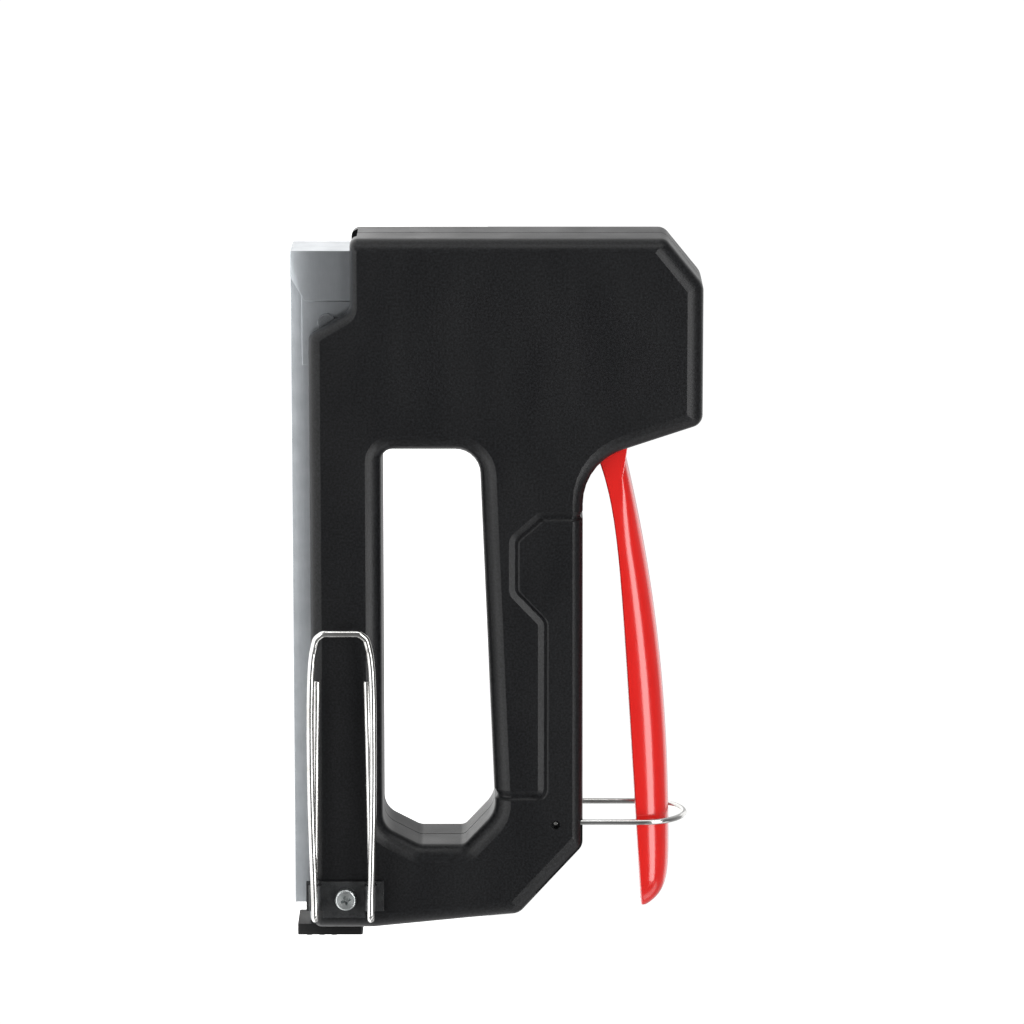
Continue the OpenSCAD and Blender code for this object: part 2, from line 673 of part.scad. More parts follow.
// Plate that clamps the clip's wires against the body, with two curled ears and a tongue
module clip_plate() {
    ear_d = clip_wire + 2 * pin_fit;
    front_x = body_rear_x - 12.5;
    color([0.22, 0.22, 0.23]) difference() {
        union() {
            translate([front_x, -half_t - plate_t, 3.4]) cube([8.6, plate_t, 21.8]);
            translate([front_x, -half_t - plate_t, 8]) cube([10.5, plate_t, 12]);
            for (s = [-1, 1]) translate([front_x + 0.6, clip_back_y, clip_z + s * clip_span / 2])
                rotate([0, 90, 0]) cylinder(d = ear_d + 2 * plate_t * 0.8, h = 7.4, $fn = 48);
        }
        translate([-1, -half_t, -1]) cube(big);
        for (s = [-1, 1]) translate([front_x - 10, clip_back_y, clip_z + s * clip_span / 2])
            rotate([0, 90, 0]) cylinder(d = ear_d, h = 40, $fn = 48);
        bar_y([clip_screw_x, clip_screw_z], -half_t - plate_t - 1, 0, screw_d + 0.3);
    }
}

module clip_screw() {
    color([0.78, 0.79, 0.80]) {
        bar_y([clip_screw_x, clip_screw_z], -half_t - plate_t, -half_t + clip_screw_len, screw_d);
        translate([clip_screw_x, -half_t - plate_t, clip_screw_z]) mirror([0, 1, 0])
            pan_head(6.2, 2.2);
    }
}

body_left();
body_right();
body_screws();
mechanism_frame();
nose_plate();
driver_plunger();
driver_blade();
blade_rivets();
drive_spring();
spring_seat();
bumper();
lever();
lever_pin();
lift_pin();
lift_roller();
lever_spring();
magazine_channel();
magazine_rivets();
staple_rail();
pusher_rod();
staple_pusher();
pusher_spring();
rail_end_cap();
end_cap_rivet();
lock_loop();
belt_clip();
clip_plate();
clip_screw();
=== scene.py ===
"""Hand staple gun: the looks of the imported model.

The moulded body halves, the pressed lever, the wires, the springs and the screws are
built here in mesh code, and the other pieces keep their own mesh and get an edge and a
finish. Sizes are in millimetres unless their text says metres, and MM turns them to metres.
"""

import json
import logging
import math
from dataclasses import dataclass, field
from enum import Enum
from typing import Sequence

import bmesh
import bpy
from mathutils import Matrix, Vector
from mathutils.geometry import delaunay_2d_cdt


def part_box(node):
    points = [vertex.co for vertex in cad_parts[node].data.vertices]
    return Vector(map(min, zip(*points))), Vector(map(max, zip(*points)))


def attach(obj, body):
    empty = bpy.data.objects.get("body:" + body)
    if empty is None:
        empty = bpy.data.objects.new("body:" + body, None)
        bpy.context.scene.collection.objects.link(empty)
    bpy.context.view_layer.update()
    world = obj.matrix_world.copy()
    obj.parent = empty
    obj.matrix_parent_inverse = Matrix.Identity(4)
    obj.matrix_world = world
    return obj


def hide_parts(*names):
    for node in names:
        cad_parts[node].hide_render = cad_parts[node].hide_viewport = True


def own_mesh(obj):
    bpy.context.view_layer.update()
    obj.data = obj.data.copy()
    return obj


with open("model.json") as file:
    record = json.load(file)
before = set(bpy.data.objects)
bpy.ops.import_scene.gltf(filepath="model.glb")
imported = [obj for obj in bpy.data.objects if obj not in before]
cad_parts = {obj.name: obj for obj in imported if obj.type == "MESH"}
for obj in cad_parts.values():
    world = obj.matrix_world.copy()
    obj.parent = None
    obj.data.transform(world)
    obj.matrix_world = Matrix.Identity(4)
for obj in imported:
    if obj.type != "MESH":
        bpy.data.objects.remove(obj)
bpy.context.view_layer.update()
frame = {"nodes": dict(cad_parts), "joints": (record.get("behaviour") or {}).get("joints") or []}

LOG = logging.getLogger("staple_gun")
MM = 0.001
# Where the lever turns, as distance back from the staple exit and height
LEVER_PIVOT = (42.0, 88.0)

Faces = list[tuple[int, ...]]


# ---------------------------------------------------------------- small helpers


def smoothstep(low: float, high: float, value: float) -> float:
    """Returns 0 below low, 1 above high and a smooth ramp between them."""
    share = min(1.0, max(0.0, (value - low) / (high - low)))
    return share * share * (3 - 2 * share)


def mix(a: float, b: float, share: float) -> float:
    """Returns the value that lies that share of the way from a to b."""
    return a + (b - a) * share


def node_box(node: str) -> tuple[Vector, Vector]:
    """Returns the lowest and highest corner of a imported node, in millimetres."""
    low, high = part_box(node)
    return low / MM, high / MM


@dataclass
class Shape:
    """A mesh under construction, in millimetres.

    Args:
        points: corner places.
        faces: corner numbers of each face.
    """

    points: list[Vector] = field(default_factory=list)
    faces: Faces = field(default_factory=list)

    def add(self, other: "Shape") -> "Shape":
        """Appends another shape's points and faces.

        Args:
            other: the shape to append.

        Returns:
            This shape.
        """
        start = len(self.points)
        self.points += [Vector(p) for p in other.points]
        self.faces += [tuple(i + start for i in f) for f in other.faces]
        return self

    def mirrored(self) -> "Shape":
        """Returns the shape reflected in the middle plane."""
        points = [Vector((p.x, -p.y, p.z)) for p in self.points]
        return Shape(points, [tuple(reversed(f)) for f in self.faces])

    def object(self, name: str) -> bpy.types.Object:
        """Makes a closed mesh object of the shape, with its faces turned outwards.

        Args:
            name: name of the new piece.

        Returns:
            The object, linked to the scene.
        """
        data = bpy.data.meshes.new(name)
        data.from_pydata([p * MM for p in self.points], [], self.faces)
        bm = bmesh.new()
        bm.from_mesh(data)
        bmesh.ops.remove_doubles(bm, verts=bm.verts, dist=1e-4 * MM)
        bmesh.ops.recalc_face_normals(bm, faces=bm.faces)
        if bm.calc_volume(signed=True) < 0:
            bmesh.ops.reverse_faces(bm, faces=bm.faces)
        bm.to_mesh(data)
        bm.free()
        piece = bpy.data.objects.new(name, data)
        bpy.context.scene.collection.objects.link(piece)
        return piece


def bridge(rings: Sequence[Sequence[Vector]]) -> Shape:
    """Joins equal rings of points with quads.

    Args:
        rings: rings in order, each with the same number of points.

    Returns:
        The tube, open at both ends.
    """
    count = len(rings[0])
    faces = [
        (
            i * count + k,
            i * count + (k + 1) % count,
            (i + 1) * count + (k + 1) % count,
            (i + 1) * count + k,
        )
        for i in range(len(rings) - 1)
        for k in range(count)
    ]
    return Shape([p for ring in rings for p in ring], faces)


def capped(rings: Sequence[Sequence[Vector]]) -> Shape:
    """Joins equal rings of points with quads and closes both ends with a flat face.

    Args:
        rings: rings in order, each with the same number of points.

    Returns:
        The closed solid.
    """
    shape = bridge(rings)
    count = len(rings[0])
    last = (len(rings) - 1) * count
    shape.faces += [tuple(range(count)), tuple(last + k for k in range(count))]
    return shape


def prism(outline: Sequence[tuple[float, float]], y0: float, y1: float) -> Shape:
    """Spans an outline drawn in X and Z from y0 to y1."""
    return capped([[Vector((x, y, z)) for x, z in outline] for y in (y0, y1)])


def box(low: tuple[float, float, float], high: tuple[float, float, float]) -> Shape:
    """Returns the block between two corners."""
    outline = [(low[0], low[2]), (high[0], low[2]), (high[0], high[2]), (low[0], high[2])]
    return prism(outline, low[1], high[1])


def circle(at: tuple[float, float], d: float, sides: int = 48) -> list[tuple[float, float]]:
    """Returns the points of a circle in X and Z."""
    turns = [2 * math.pi * k / sides for k in range(sides)]
    return [(at[0] + d / 2 * math.cos(a), at[1] + d / 2 * math.sin(a)) for a in turns]


def bore(at: tuple[float, float], y0: float, y1: float, d: float) -> Shape:
    """Returns a round bar along Y, used to cut a hole."""
    return prism(circle(at, d), y0, y1)


def cut(piece: bpy.types.Object, tools: Sequence[Shape], join: bool = False) -> None:
    """Cuts shapes out of a piece, or joins them to it, one after another.

    Args:
        piece: the closed mesh to change.
        tools: closed shapes.
        join: adds the shapes to the piece where it is true.
    """
    helpers = [tool.object(f"tool_{i}") for i, tool in enumerate(tools)]
    for helper in helpers:
        step = piece.modifiers.new("cut", "BOOLEAN")
        step.operation = "UNION" if join else "DIFFERENCE"
        step.solver = "EXACT"
        step.object = helper
    bake(piece)
    for helper in helpers:
        data = helper.data
        bpy.data.objects.remove(helper)
        bpy.data.meshes.remove(data)


def bake(piece: bpy.types.Object) -> None:
    """Turns a piece's modifiers into its own mesh.

    Args:
        piece: the mesh object.
    """
    shown = piece.evaluated_get(bpy.context.evaluated_depsgraph_get())
    old, name = piece.data, piece.data.name
    piece.data = bpy.data.meshes.new_from_object(shown)
    piece.modifiers.clear()
    bpy.data.meshes.remove(old)
    piece.data.name = name


def shade(piece: bpy.types.Object, crease: float = 30) -> None:
    """Shades a piece smooth up to an angle and evens its normals by face area.

    Args:
        piece: the mesh object.
        crease: angle in degrees from which an edge stays sharp.
    """
    piece.data.shade_smooth()
    piece.data.set_sharp_from_angle(angle=math.radians(crease))
    step = piece.modifiers.new("even_normals", "WEIGHTED_NORMAL")
    step.keep_sharp = True


def arc_path(points: Sequence[Vector], radius: float, steps: int = 8) -> list[Vector]:
    """Rounds the corners of an open path with arcs.

    Args:
        points: corners of the path, with its two ends.
        radius: radius of each bend, or less where the sides are short.
        steps: straight pieces in each bend.

    Returns:
        The points of the rounded path.
    """
    path = [Vector(points[0])]
    for before, here, after in zip(points, points[1:], points[2:]):
        a, b = (before - here).normalized(), (after - here).normalized()
        half = a.angle(b) / 2
        if half > math.radians(89.5):
            path.append(Vector(here))
            continue
        reach = min(radius / math.tan(half), 0.48 * (before - here).length,
                    0.48 * (after - here).length)
        bend = reach * math.tan(half)
        centre = here + (a + b).normalized() * (bend / math.sin(half))
        start, end = here + a * reach - centre, here + b * reach - centre
        turn = start.angle(end)
        for k in range(steps + 1):
            w = turn * k / steps
            path.append(centre + (start * math.sin(turn - w) + end * math.sin(w)) / math.sin(turn))
    return path + [Vector(points[-1])]


def flow(points: Sequence[Vector], steps: int = 6) -> list[Vector]:
    """Draws a smooth curve through points.

    Args:
        points: places that the curve passes through.
        steps: straight pieces between each two.

    Returns:
        The points of the curve.
    """
    full = [points[0] * 2 - points[1], *points, points[-1] * 2 - points[-2]]
    curve = []
    for a, b, c, d in zip(full, full[1:], full[2:], full[3:]):
        for k in range(steps):
            t = k / steps
            curve.append(0.5 * (2 * b + (c - a) * t + (2 * a - 5 * b + 4 * c - d) * t * t
                                + (3 * b - a - 3 * c + d) * t ** 3))
    return curve + [Vector(points[-1])]


def sweep(path: Sequence[Vector], d: float, sides: int = 20) -> Shape:
    """Sweeps a round wire along a path and rounds off its two ends.

    Args:
        path: centre line of the wire.
        d: wire diameter.
        sides: faces round the wire.

    Returns:
        The closed wire.
    """
    r = d / 2
    heads = [(path[min(i + 1, len(path) - 1)] - path[max(i - 1, 0)]).normalized()
             for i in range(len(path))]
    side = heads[0].orthogonal().normalized()
    rings, frames = [], []
    for at, head in zip(path, heads):
        side = (side - head * side.dot(head)).normalized()
        frames.append((at, head, side, head.cross(side)))
    # How far each ring of a rounded end stands back, and its size, as shares of the radius
    rounding = [(-0.30, 0.55), (-0.18, 0.86), (0.0, 1.0)]
    stations = [(frames[0], back * r, size) for back, size in rounding]
    stations += [(f, 0.0, 1.0) for f in frames[1:-1]]
    stations += [(frames[-1], -back * r, size) for back, size in reversed(rounding)]
    for (at, head, a, b), shift, size in stations:
        rings.append([at + head * shift + r * size * (math.cos(w) * a + math.sin(w) * b)
                      for w in (2 * math.pi * k / sides for k in range(sides))])
    return capped(rings)


# ---------------------------------------------------------------- outlines


@dataclass(frozen=True)
class Corner:
    """A corner of an outline in X and Z.

    Args:
        x: distance back from the staple exit.
        z: height.
        radius: radius of the rounded corner.
        edge: width of the rounded edge along the side that follows the corner.
    """

    x: float
    z: float
    radius: float = 2.0
    edge: float = 4.5


@dataclass(frozen=True)
class Outline:
    """A closed outline whose corners and edges are rounded.

    Args:
        corners: the corners, anticlockwise.
        inward: 1 where the material lies inside the outline, -1 where it lies outside.
        steps: straight pieces in each rounded corner.
        pitch: longest piece of a straight side.
    """

    corners: tuple[Corner, ...]
    inward: int = 1
    steps: int = 7
    pitch: float = 6.0

    def _corner_at(self, i: int, share: float) -> Vector:
        """Finds a corner when each side is moved by a share of its edge width.

        Args:
            i: the corner's number.
            share: share of the edge width.

        Returns:
            The moved corner, in X and Z.
        """
        n = len(self.corners)
        before, here, after = (self.corners[(i + k) % n] for k in (-1, 0, 1))
        a, b, c = (Vector((p.x, p.z)) for p in (before, here, after))
        u, v = (b - a).normalized(), (c - b).normalized()
        nu = Vector((-u.y, u.x)) * (self.inward * share * before.edge)
        nv = Vector((-v.y, v.x)) * (self.inward * share * here.edge)
        turn = u.x * v.y - u.y * v.x
        if abs(turn) < 0.02:
            return b + (nu + nv) / 2
        gap = (b + nv) - (b + nu)
        return b + nu + u * ((gap.x * v.y - gap.y * v.x) / turn)

    def ring(self, share: float) -> list[Vector]:
        """Returns the rounded outline, moved into the material.

        Args:
            share: 0 for the outline itself and 1 for the inner line of its edge.

        Returns:
            Points in X and Z, in the same number for each share.
        """
        n = len(self.corners)
        places = [self._corner_at(i, share) for i in range(n)]
        bends = [self._bend_ends(places, i, share) for i in range(n)]
        ring: list[Vector] = []
        for i, (start, end, half) in enumerate(bends):
            ring += [self._bend(start, places[i], end, half, k / self.steps)
                     for k in range(self.steps + 1)]
            far = bends[(i + 1) % n][0]
            pieces = self._pieces(i)
            ring += [end.lerp(far, k / pieces) for k in range(1, pieces)]
        return ring

    def _pieces(self, i: int) -> int:
        """Returns how many pieces the side after corner i has."""
        a, b = self.corners[i], self.corners[(i + 1) % len(self.corners)]
        return max(1, round(math.hypot(b.x - a.x, b.z - a.z) / self.pitch))

    def _bend_ends(self, places: Sequence[Vector], i: int,
                   share: float) -> tuple[Vector, Vector, float]:
        """Finds the bend that rounds a corner.

        Args:
            places: the moved corners.
            i: the corner's number.
            share: share of the edge width that they are moved by.

        Returns:
            Where the bend starts, where it ends, and half the corner's angle.
        """
        before, here, after = places[i - 1], places[i], places[(i + 1) % len(places)]
        u, v = (here - before).normalized(), (after - here).normalized()
        turn = u.x * v.y - u.y * v.x
        moved = share * (self.corners[i].edge + self.corners[i - 1].edge) / 2
        towards = 1 if turn * self.inward > 0 else -1
        radius = max(self.corners[i].radius - towards * moved, 0.5)
        half = (math.pi - u.angle(v)) / 2
        reach = min(radius / math.tan(half), 0.45 * (here - before).length,
                    0.45 * (after - here).length)
        return here - u * reach, here + v * reach, half

    @staticmethod
    def _bend(start: Vector, corner: Vector, end: Vector, half: float, t: float) -> Vector:
        """Finds a point of the arc that touches both sides of a corner.

        Args:
            start: where the arc starts.
            corner: the sharp corner.
            end: where the arc ends.
            half: half the corner's angle.
            t: share of the way along the arc.

        Returns:
            The point.
        """
        weight = math.sin(half)
        a, b, c = (1 - t) ** 2, 2 * t * (1 - t) * weight, t * t
        return (start * a + corner * b + end * c) / (a + b + c)


def contains(outline: Sequence[Vector], at: Vector) -> bool:
    """Tells whether a point lies inside a closed outline.

    Args:
        outline: points in X and Z.
        at: the point.

    Returns:
        True where it lies inside.
    """
    inside = False
    for a, b in zip(outline, [*outline[1:], outline[0]]):
        if (a.y > at.y) != (b.y > at.y):
            if at.x < a.x + (at.y - a.y) / (b.y - a.y) * (b.x - a.x):
                inside = not inside
    return inside


def sheet_face(outer: Sequence[Vector], holes: Sequence[Sequence[Vector]], y: float) -> Shape:
    """Fills a flat face between an outline and its holes with triangles.

    Args:
        outer: outline in X and Z.
        holes: outlines of the openings.
        y: place of the face.

    Returns:
        The flat face, with no new corners on its outlines.
    """
    points: list[Vector] = []
    edges: list[tuple[int, int]] = []
    for loop in (outer, *holes):
        start, n = len(points), len(loop)
        points += list(loop)
        edges += [(start + k, start + (k + 1) % n) for k in range(n)]
    flat, _, triangles, *_ = delaunay_2d_cdt(points, edges, [], 0, 1e-6)
    faces = []
    for triangle in triangles:
        middle = sum((flat[i] for i in triangle), Vector((0, 0))) / len(triangle)
        if contains(outer, middle) and not any(contains(h, middle) for h in holes):
            faces.append(tuple(triangle))
    return Shape([Vector((p.x, y, p.y)) for p in flat], faces)


def slab(outline: Outline, holes: Sequence[Outline],
         section: Sequence[tuple[float, float]]) -> Shape:
    """Builds a solid whose outlines follow an edge section.

    Args:
        outline: outer outline.
        holes: outlines of its openings.
        section: pairs of edge share and place in Y, from one face to the other.

    Returns:
        The closed solid.
    """
    shape = Shape()
    for border in (outline, *holes):
        rings = [[Vector((p.x, y, p.y)) for p in border.ring(share)] for share, y in section]
        shape.add(bridge(rings))
    for share, y in (section[0], section[-1]):
        shape.add(sheet_face(outline.ring(share), [h.ring(share) for h in holes], y))
    return shape


# ---------------------------------------------------------------- finishes


def linear(code: str) -> tuple[float, float, float, float]:
    """Turns an sRGB hex colour into linear values.

    Args:
        code: colour such as #c81018.

    Returns:
        Red, green, blue and alpha.
    """
    parts = [int(code[i:i + 2], 16) / 255 for i in (1, 3, 5)]
    red, green, blue = (c / 12.92 if c <= 0.04045 else ((c + 0.055) / 1.055) ** 2.4
                        for c in parts)
    return red, green, blue, 1.0


def add_node(tree: bpy.types.NodeTree, kind: str, inputs: dict[object, object] | None = None,
             **settings: object) -> bpy.types.Node:
    """Adds a node with its settings, values and links.

    Args:
        tree: node tree to add to.
        kind: Blender's name of the node type.
        inputs: value or output socket for each input, by name or number.
        settings: properties of the node.

    Returns:
        The new node.
    """
    node = tree.nodes.new(kind)
    for name, value in settings.items():
        setattr(node, name, value)
    for key, value in (inputs or {}).items():
        if isinstance(value, bpy.types.NodeSocket):
            tree.links.new(value, node.inputs[key])
        else:
            node.inputs[key].default_value = value
    return node


def empty_tree(owner: bpy.types.Material | bpy.types.World) -> bpy.types.NodeTree:
    """Turns on a material's or world's nodes and clears them.

    Args:
        owner: the material or world.

    Returns:
        Its empty node tree.
    """
    owner.use_nodes = True
    owner.node_tree.nodes.clear()
    return owner.node_tree


class Pattern:
    """The patterns that a finish draws from, in the piece's own coordinates."""

    def __init__(self, tree: bpy.types.NodeTree) -> None:
        """Starts with the place on the piece, in metres."""
        self.tree = tree
        self.place = add_node(tree, "ShaderNodeTexCoord").outputs["Object"]

    def noise(self, size_mm: float, detail: float = 2.0, roughness: float = 0.5,
              stretch: tuple[float, float, float] = (1, 1, 1)) -> bpy.types.NodeSocket:
        """Returns a cloudy pattern.

        Args:
            size_mm: width of one spot.
            detail: how many finer layers it has.
            roughness: strength of the finer layers.
            stretch: how many times wider the spots are along X, Y and Z.

        Returns:
            The pattern's value, about 0.5 in the middle.
        """
        scale = tuple(1 / (size_mm * MM * s) for s in stretch)
        at = add_node(self.tree, "ShaderNodeMapping", {0: self.place, "Scale": scale}).outputs[0]
        return add_node(self.tree, "ShaderNodeTexNoise",
                        {"Vector": at, "Scale": 1.0, "Detail": detail,
                         "Roughness": roughness}).outputs[0]

    def ramp(self, value: bpy.types.NodeSocket, source: tuple[float, float],
             result: tuple[float, float]) -> bpy.types.NodeSocket:
        """Returns a value moved from one range to another, held at its ends."""
        return add_node(self.tree, "ShaderNodeMapRange",
                        {0: value, 1: source[0], 2: source[1], 3: result[0],
                         4: result[1]}).outputs[0]

    def blend(self, share: bpy.types.NodeSocket, first: str, second: str) -> bpy.types.NodeSocket:
        """Returns a colour between two sRGB hex colours."""
        return add_node(self.tree, "ShaderNodeMix", {0: share, 6: linear(first), 7: linear(second)},
                        data_type="RGBA").outputs[2]

    def add(self, a: bpy.types.NodeSocket, b: bpy.types.NodeSocket,
            share: float) -> bpy.types.NodeSocket:
        """Returns a plus a share of b."""
        return add_node(self.tree, "ShaderNodeMath", {0: b, 1: share, 2: a},
                        operation="MULTIPLY_ADD").outputs[0]

    def relief(self, height: bpy.types.NodeSocket, depth_mm: float,
               strength: float = 1.0) -> bpy.types.NodeSocket:
        """Returns the normal of a relief whose full height is that deep."""
        return add_node(self.tree, "ShaderNodeBump",
                        {"Strength": strength, "Distance": depth_mm * MM,
                         "Height": height}).outputs[0]


@dataclass(frozen=True)
class Finish:
    """A surface: what the real material is and how it was made.

    Args:
        name: the record's material slot.
    """

    name: str

    def material(self) -> bpy.types.Material:
        """Returns the finish's material, made the first time it is asked for.

        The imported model's own plain material already has the slot's name.

        Returns:
            The material.
        """
        name = f"{self.name}_finish"
        found = bpy.data.materials.get(name)
        if found:
            return found
        made = bpy.data.materials.new(name)
        tree = empty_tree(made)
        shader = add_node(tree, "ShaderNodeBsdfPrincipled")
        add_node(tree, "ShaderNodeOutputMaterial", {"Surface": shader.outputs[0]})
        self.dress(Pattern(tree), shader)
        return made

    def dress(self, pattern: Pattern, shader: bpy.types.Node) -> None:
        """Sets the shader's values and links its patterns.

        Args:
            pattern: the patterns to draw from.
            shader: the shader to set.
        """
        raise NotImplementedError

    @staticmethod
    def fill(shader: bpy.types.Node, values: dict[str, object]) -> None:
        """Sets or links several of the shader's inputs.

        Args:
            shader: the shader.
            values: value or output socket for each input.
        """
        for key, value in values.items():
            if isinstance(value, bpy.types.NodeSocket):
                shader.id_data.links.new(value, shader.inputs[key])
            else:
                shader.inputs[key].default_value = value


@dataclass(frozen=True)
class MouldedNylon(Finish):
    """Glass-filled nylon moulded in a spark-eroded tool: black, with a fine even grain that
    scatters the light, so its faces look charcoal and only its edges catch a soft sheen.

    Args:
        dark: colour in the grain's valleys.
        light: colour on its tops.
        grain_mm: width of one grain.
        grain_depth_mm: depth of the grain.
        roughness: middle roughness.
    """

    dark: str = "#060607"
    light: str = "#18191b"
    grain_mm: float = 0.6
    grain_depth_mm: float = 0.06
    roughness: float = 0.36

    def dress(self, pattern: Pattern, shader: bpy.types.Node) -> None:
        """Sets nylon's typical IOR of 1.53 and the eroded grain.

        Args:
            pattern: the patterns to draw from.
            shader: the shader to set.
        """
        # Real grain is about 0.1 mm wide; it is drawn six times as wide so that it shows.
        grain = pattern.noise(self.grain_mm, detail=3, roughness=0.62)
        flow_marks = pattern.noise(14, detail=2, stretch=(2.5, 1, 1))
        spots = pattern.ramp(grain, (0.38, 0.66), (0, 1))
        rough = pattern.ramp(flow_marks, (0.3, 0.7),
                             (self.roughness - 0.04, self.roughness + 0.05))
        self.fill(shader, {
            "Base Color": pattern.blend(spots, self.dark, self.light),
            "Roughness": pattern.add(rough, grain, 0.04),
            "IOR": 1.53,
            "Specular IOR Level": 0.22,
            "Normal": pattern.relief(grain, self.grain_depth_mm, 0.5),
        })


@dataclass(frozen=True)
class RedEnamel(Finish):
    """Stoving enamel sprayed on pressed steel: a deep red that flows out to a high gloss,
    with a faint orange peel.

    Args:
        colour: the enamel's red.
        deep: its red where the coat is thicker.
        peel_mm: width of the orange peel's waves.
        peel_depth_mm: depth of the waves.
        roughness: roughness of the gloss.
    """

    colour: str = "#c81b16"
    deep: str = "#b91412"
    peel_mm: float = 2.4
    peel_depth_mm: float = 0.012
    roughness: float = 0.16

    def dress(self, pattern: Pattern, shader: bpy.types.Node) -> None:
        """Sets enamel's typical IOR of 1.52 and its orange peel.

        Args:
            pattern: the patterns to draw from.
            shader: the shader to set.
        """
        peel = pattern.noise(self.peel_mm, detail=1)
        cloud = pattern.noise(22, detail=2)
        dust = pattern.noise(0.5, detail=2)
        self.fill(shader, {
            "Base Color": pattern.blend(pattern.ramp(cloud, (0.3, 0.7), (0, 0.5)),
                                        self.colour, self.deep),
            "Roughness": pattern.ramp(dust, (0.3, 0.75), (self.roughness, self.roughness + 0.07)),
            "IOR": 1.52,
            "Coat Weight": 0.25,
            "Coat Roughness": 0.06,
            "Normal": pattern.relief(peel, self.peel_depth_mm, 0.35),
        })


class Lay(Enum):
    """Direction of the fine marks that rolling, drawing or grinding leaves."""

    ALONG_X = (14, 1, 1)
    ALONG_Z = (1, 1, 14)
    NONE = (1, 1, 1)


@dataclass(frozen=True)
class WorkedMetal(Finish):
    """Metal with the marks of how it was made.

    Args:
        colour: colour of the clean metal.
        tarnish: colour of its duller spots.
        roughness: roughness of the clean metal.
        spread: how much duller its dull spots are.
        marks_mm: spacing of the fine marks.
        depth_mm: depth of the marks.
        lay: direction of the marks.
        spot_mm: width of the duller spots.
        metallic: share of bare metal, below 1 under a black oxide.
    """

    colour: str = "#b9bcc0"
    tarnish: str = "#9a9da1"
    roughness: float = 0.3
    spread: float = 0.12
    marks_mm: float = 0.3
    depth_mm: float = 0.01
    lay: Lay = Lay.NONE
    spot_mm: float = 6.0
    metallic: float = 1.0

    def dress(self, pattern: Pattern, shader: bpy.types.Node) -> None:
        """Lays the marks and the duller spots over the metal.

        Args:
            pattern: the patterns to draw from.
            shader: the shader to set.
        """
        marks = pattern.noise(self.marks_mm, detail=2, stretch=self.lay.value)
        spots = pattern.noise(self.spot_mm, detail=3)
        share = pattern.ramp(pattern.add(spots, marks, 0.35), (0.5, 0.85), (0, 1))
        self.fill(shader, {
            "Base Color": pattern.blend(share, self.colour, self.tarnish),
            "Metallic": self.metallic,
            "Roughness": pattern.ramp(pattern.add(spots, marks, 0.5), (0.45, 1.0),
                                      (self.roughness, self.roughness + self.spread)),
            "Normal": pattern.relief(marks, self.depth_mm, 0.3),
        })


@dataclass(frozen=True)
class Rubber(Finish):
    """Black natural rubber, cut from moulded strip: dull, with a fine bloom.

    Args:
        colour: the rubber's black.
        bloom: colour of its bloom.
    """

    colour: str = "#161616"
    bloom: str = "#242423"

    def dress(self, pattern: Pattern, shader: bpy.types.Node) -> None:
        """Sets rubber's typical IOR of 1.52 and its bloom.

        Args:
            pattern: the patterns to draw from.
            shader: the shader to set.
        """
        bloom = pattern.noise(1.6, detail=4)
        self.fill(shader, {
            "Base Color": pattern.blend(pattern.ramp(bloom, (0.35, 0.7), (0, 1)),
                                        self.colour, self.bloom),
            "Roughness": pattern.ramp(bloom, (0.3, 0.7), (0.72, 0.86)),
            "IOR": 1.52,
            "Normal": pattern.relief(bloom, 0.04, 0.4),
        })


# Each of the record's material slots, with the finish of its pieces
FINISHES: dict[str, Finish] = {
    "moulded_nylon": MouldedNylon("moulded_nylon"),
    "smooth_nylon": MouldedNylon("smooth_nylon", dark="#0b0b0c", light="#131314", grain_mm=0.4,
                                 grain_depth_mm=0.015, roughness=0.42),
    "red_enamel": RedEnamel("red_enamel"),
    # Zinc plating on cold-rolled strip: bluish silver with faint rolling marks
    "plated_sheet": WorkedMetal("plated_sheet", colour="#b2b6ba", tarnish="#a6aaae",
                                roughness=0.3, spread=0.05, marks_mm=0.22,
                                lay=Lay.ALONG_X),
    # Oiled mild steel as sheared and pressed: mid grey and rather dull
    "dark_steel": WorkedMetal("dark_steel", colour="#85888b", tarnish="#5d5f61", roughness=0.38,
                              spread=0.18, marks_mm=0.35),
    # Hardened tool steel, ground along its length
    "hardened_blade": WorkedMetal("hardened_blade", colour="#b4b6b8", tarnish="#8d8f91",
                                  roughness=0.2, marks_mm=0.16, depth_mm=0.008, lay=Lay.ALONG_Z),
    # Oil-tempered music wire: grey with a brown cast
    "spring_steel": WorkedMetal("spring_steel", colour="#8b8a88", tarnish="#5f5c58",
                                roughness=0.28, marks_mm=0.2),
    # Bright nickel over drawn wire: clean mirror with a few soft specks
    "nickel_wire": WorkedMetal("nickel_wire", colour="#dcdcdb", tarnish="#b9b8b5", roughness=0.1,
                               spread=0.08, marks_mm=0.5, depth_mm=0.004, spot_mm=9),
    # Black-oxidised strip: dark, half dull, rubbed a little brighter in places
    "dark_plate": WorkedMetal("dark_plate", colour="#4a4b4c", tarnish="#2e2f30", roughness=0.34,
                              spread=0.2, marks_mm=0.3, spot_mm=4, metallic=0.85),
    # Bright zinc on a cold-headed screw
    "zinc_screw": WorkedMetal("zinc_screw", colour="#c9cdcd", tarnish="#a4a9a9", roughness=0.24,
                              spread=0.14, marks_mm=0.25, spot_mm=2),
    "bumper_rubber": Rubber("bumper_rubber"),
}


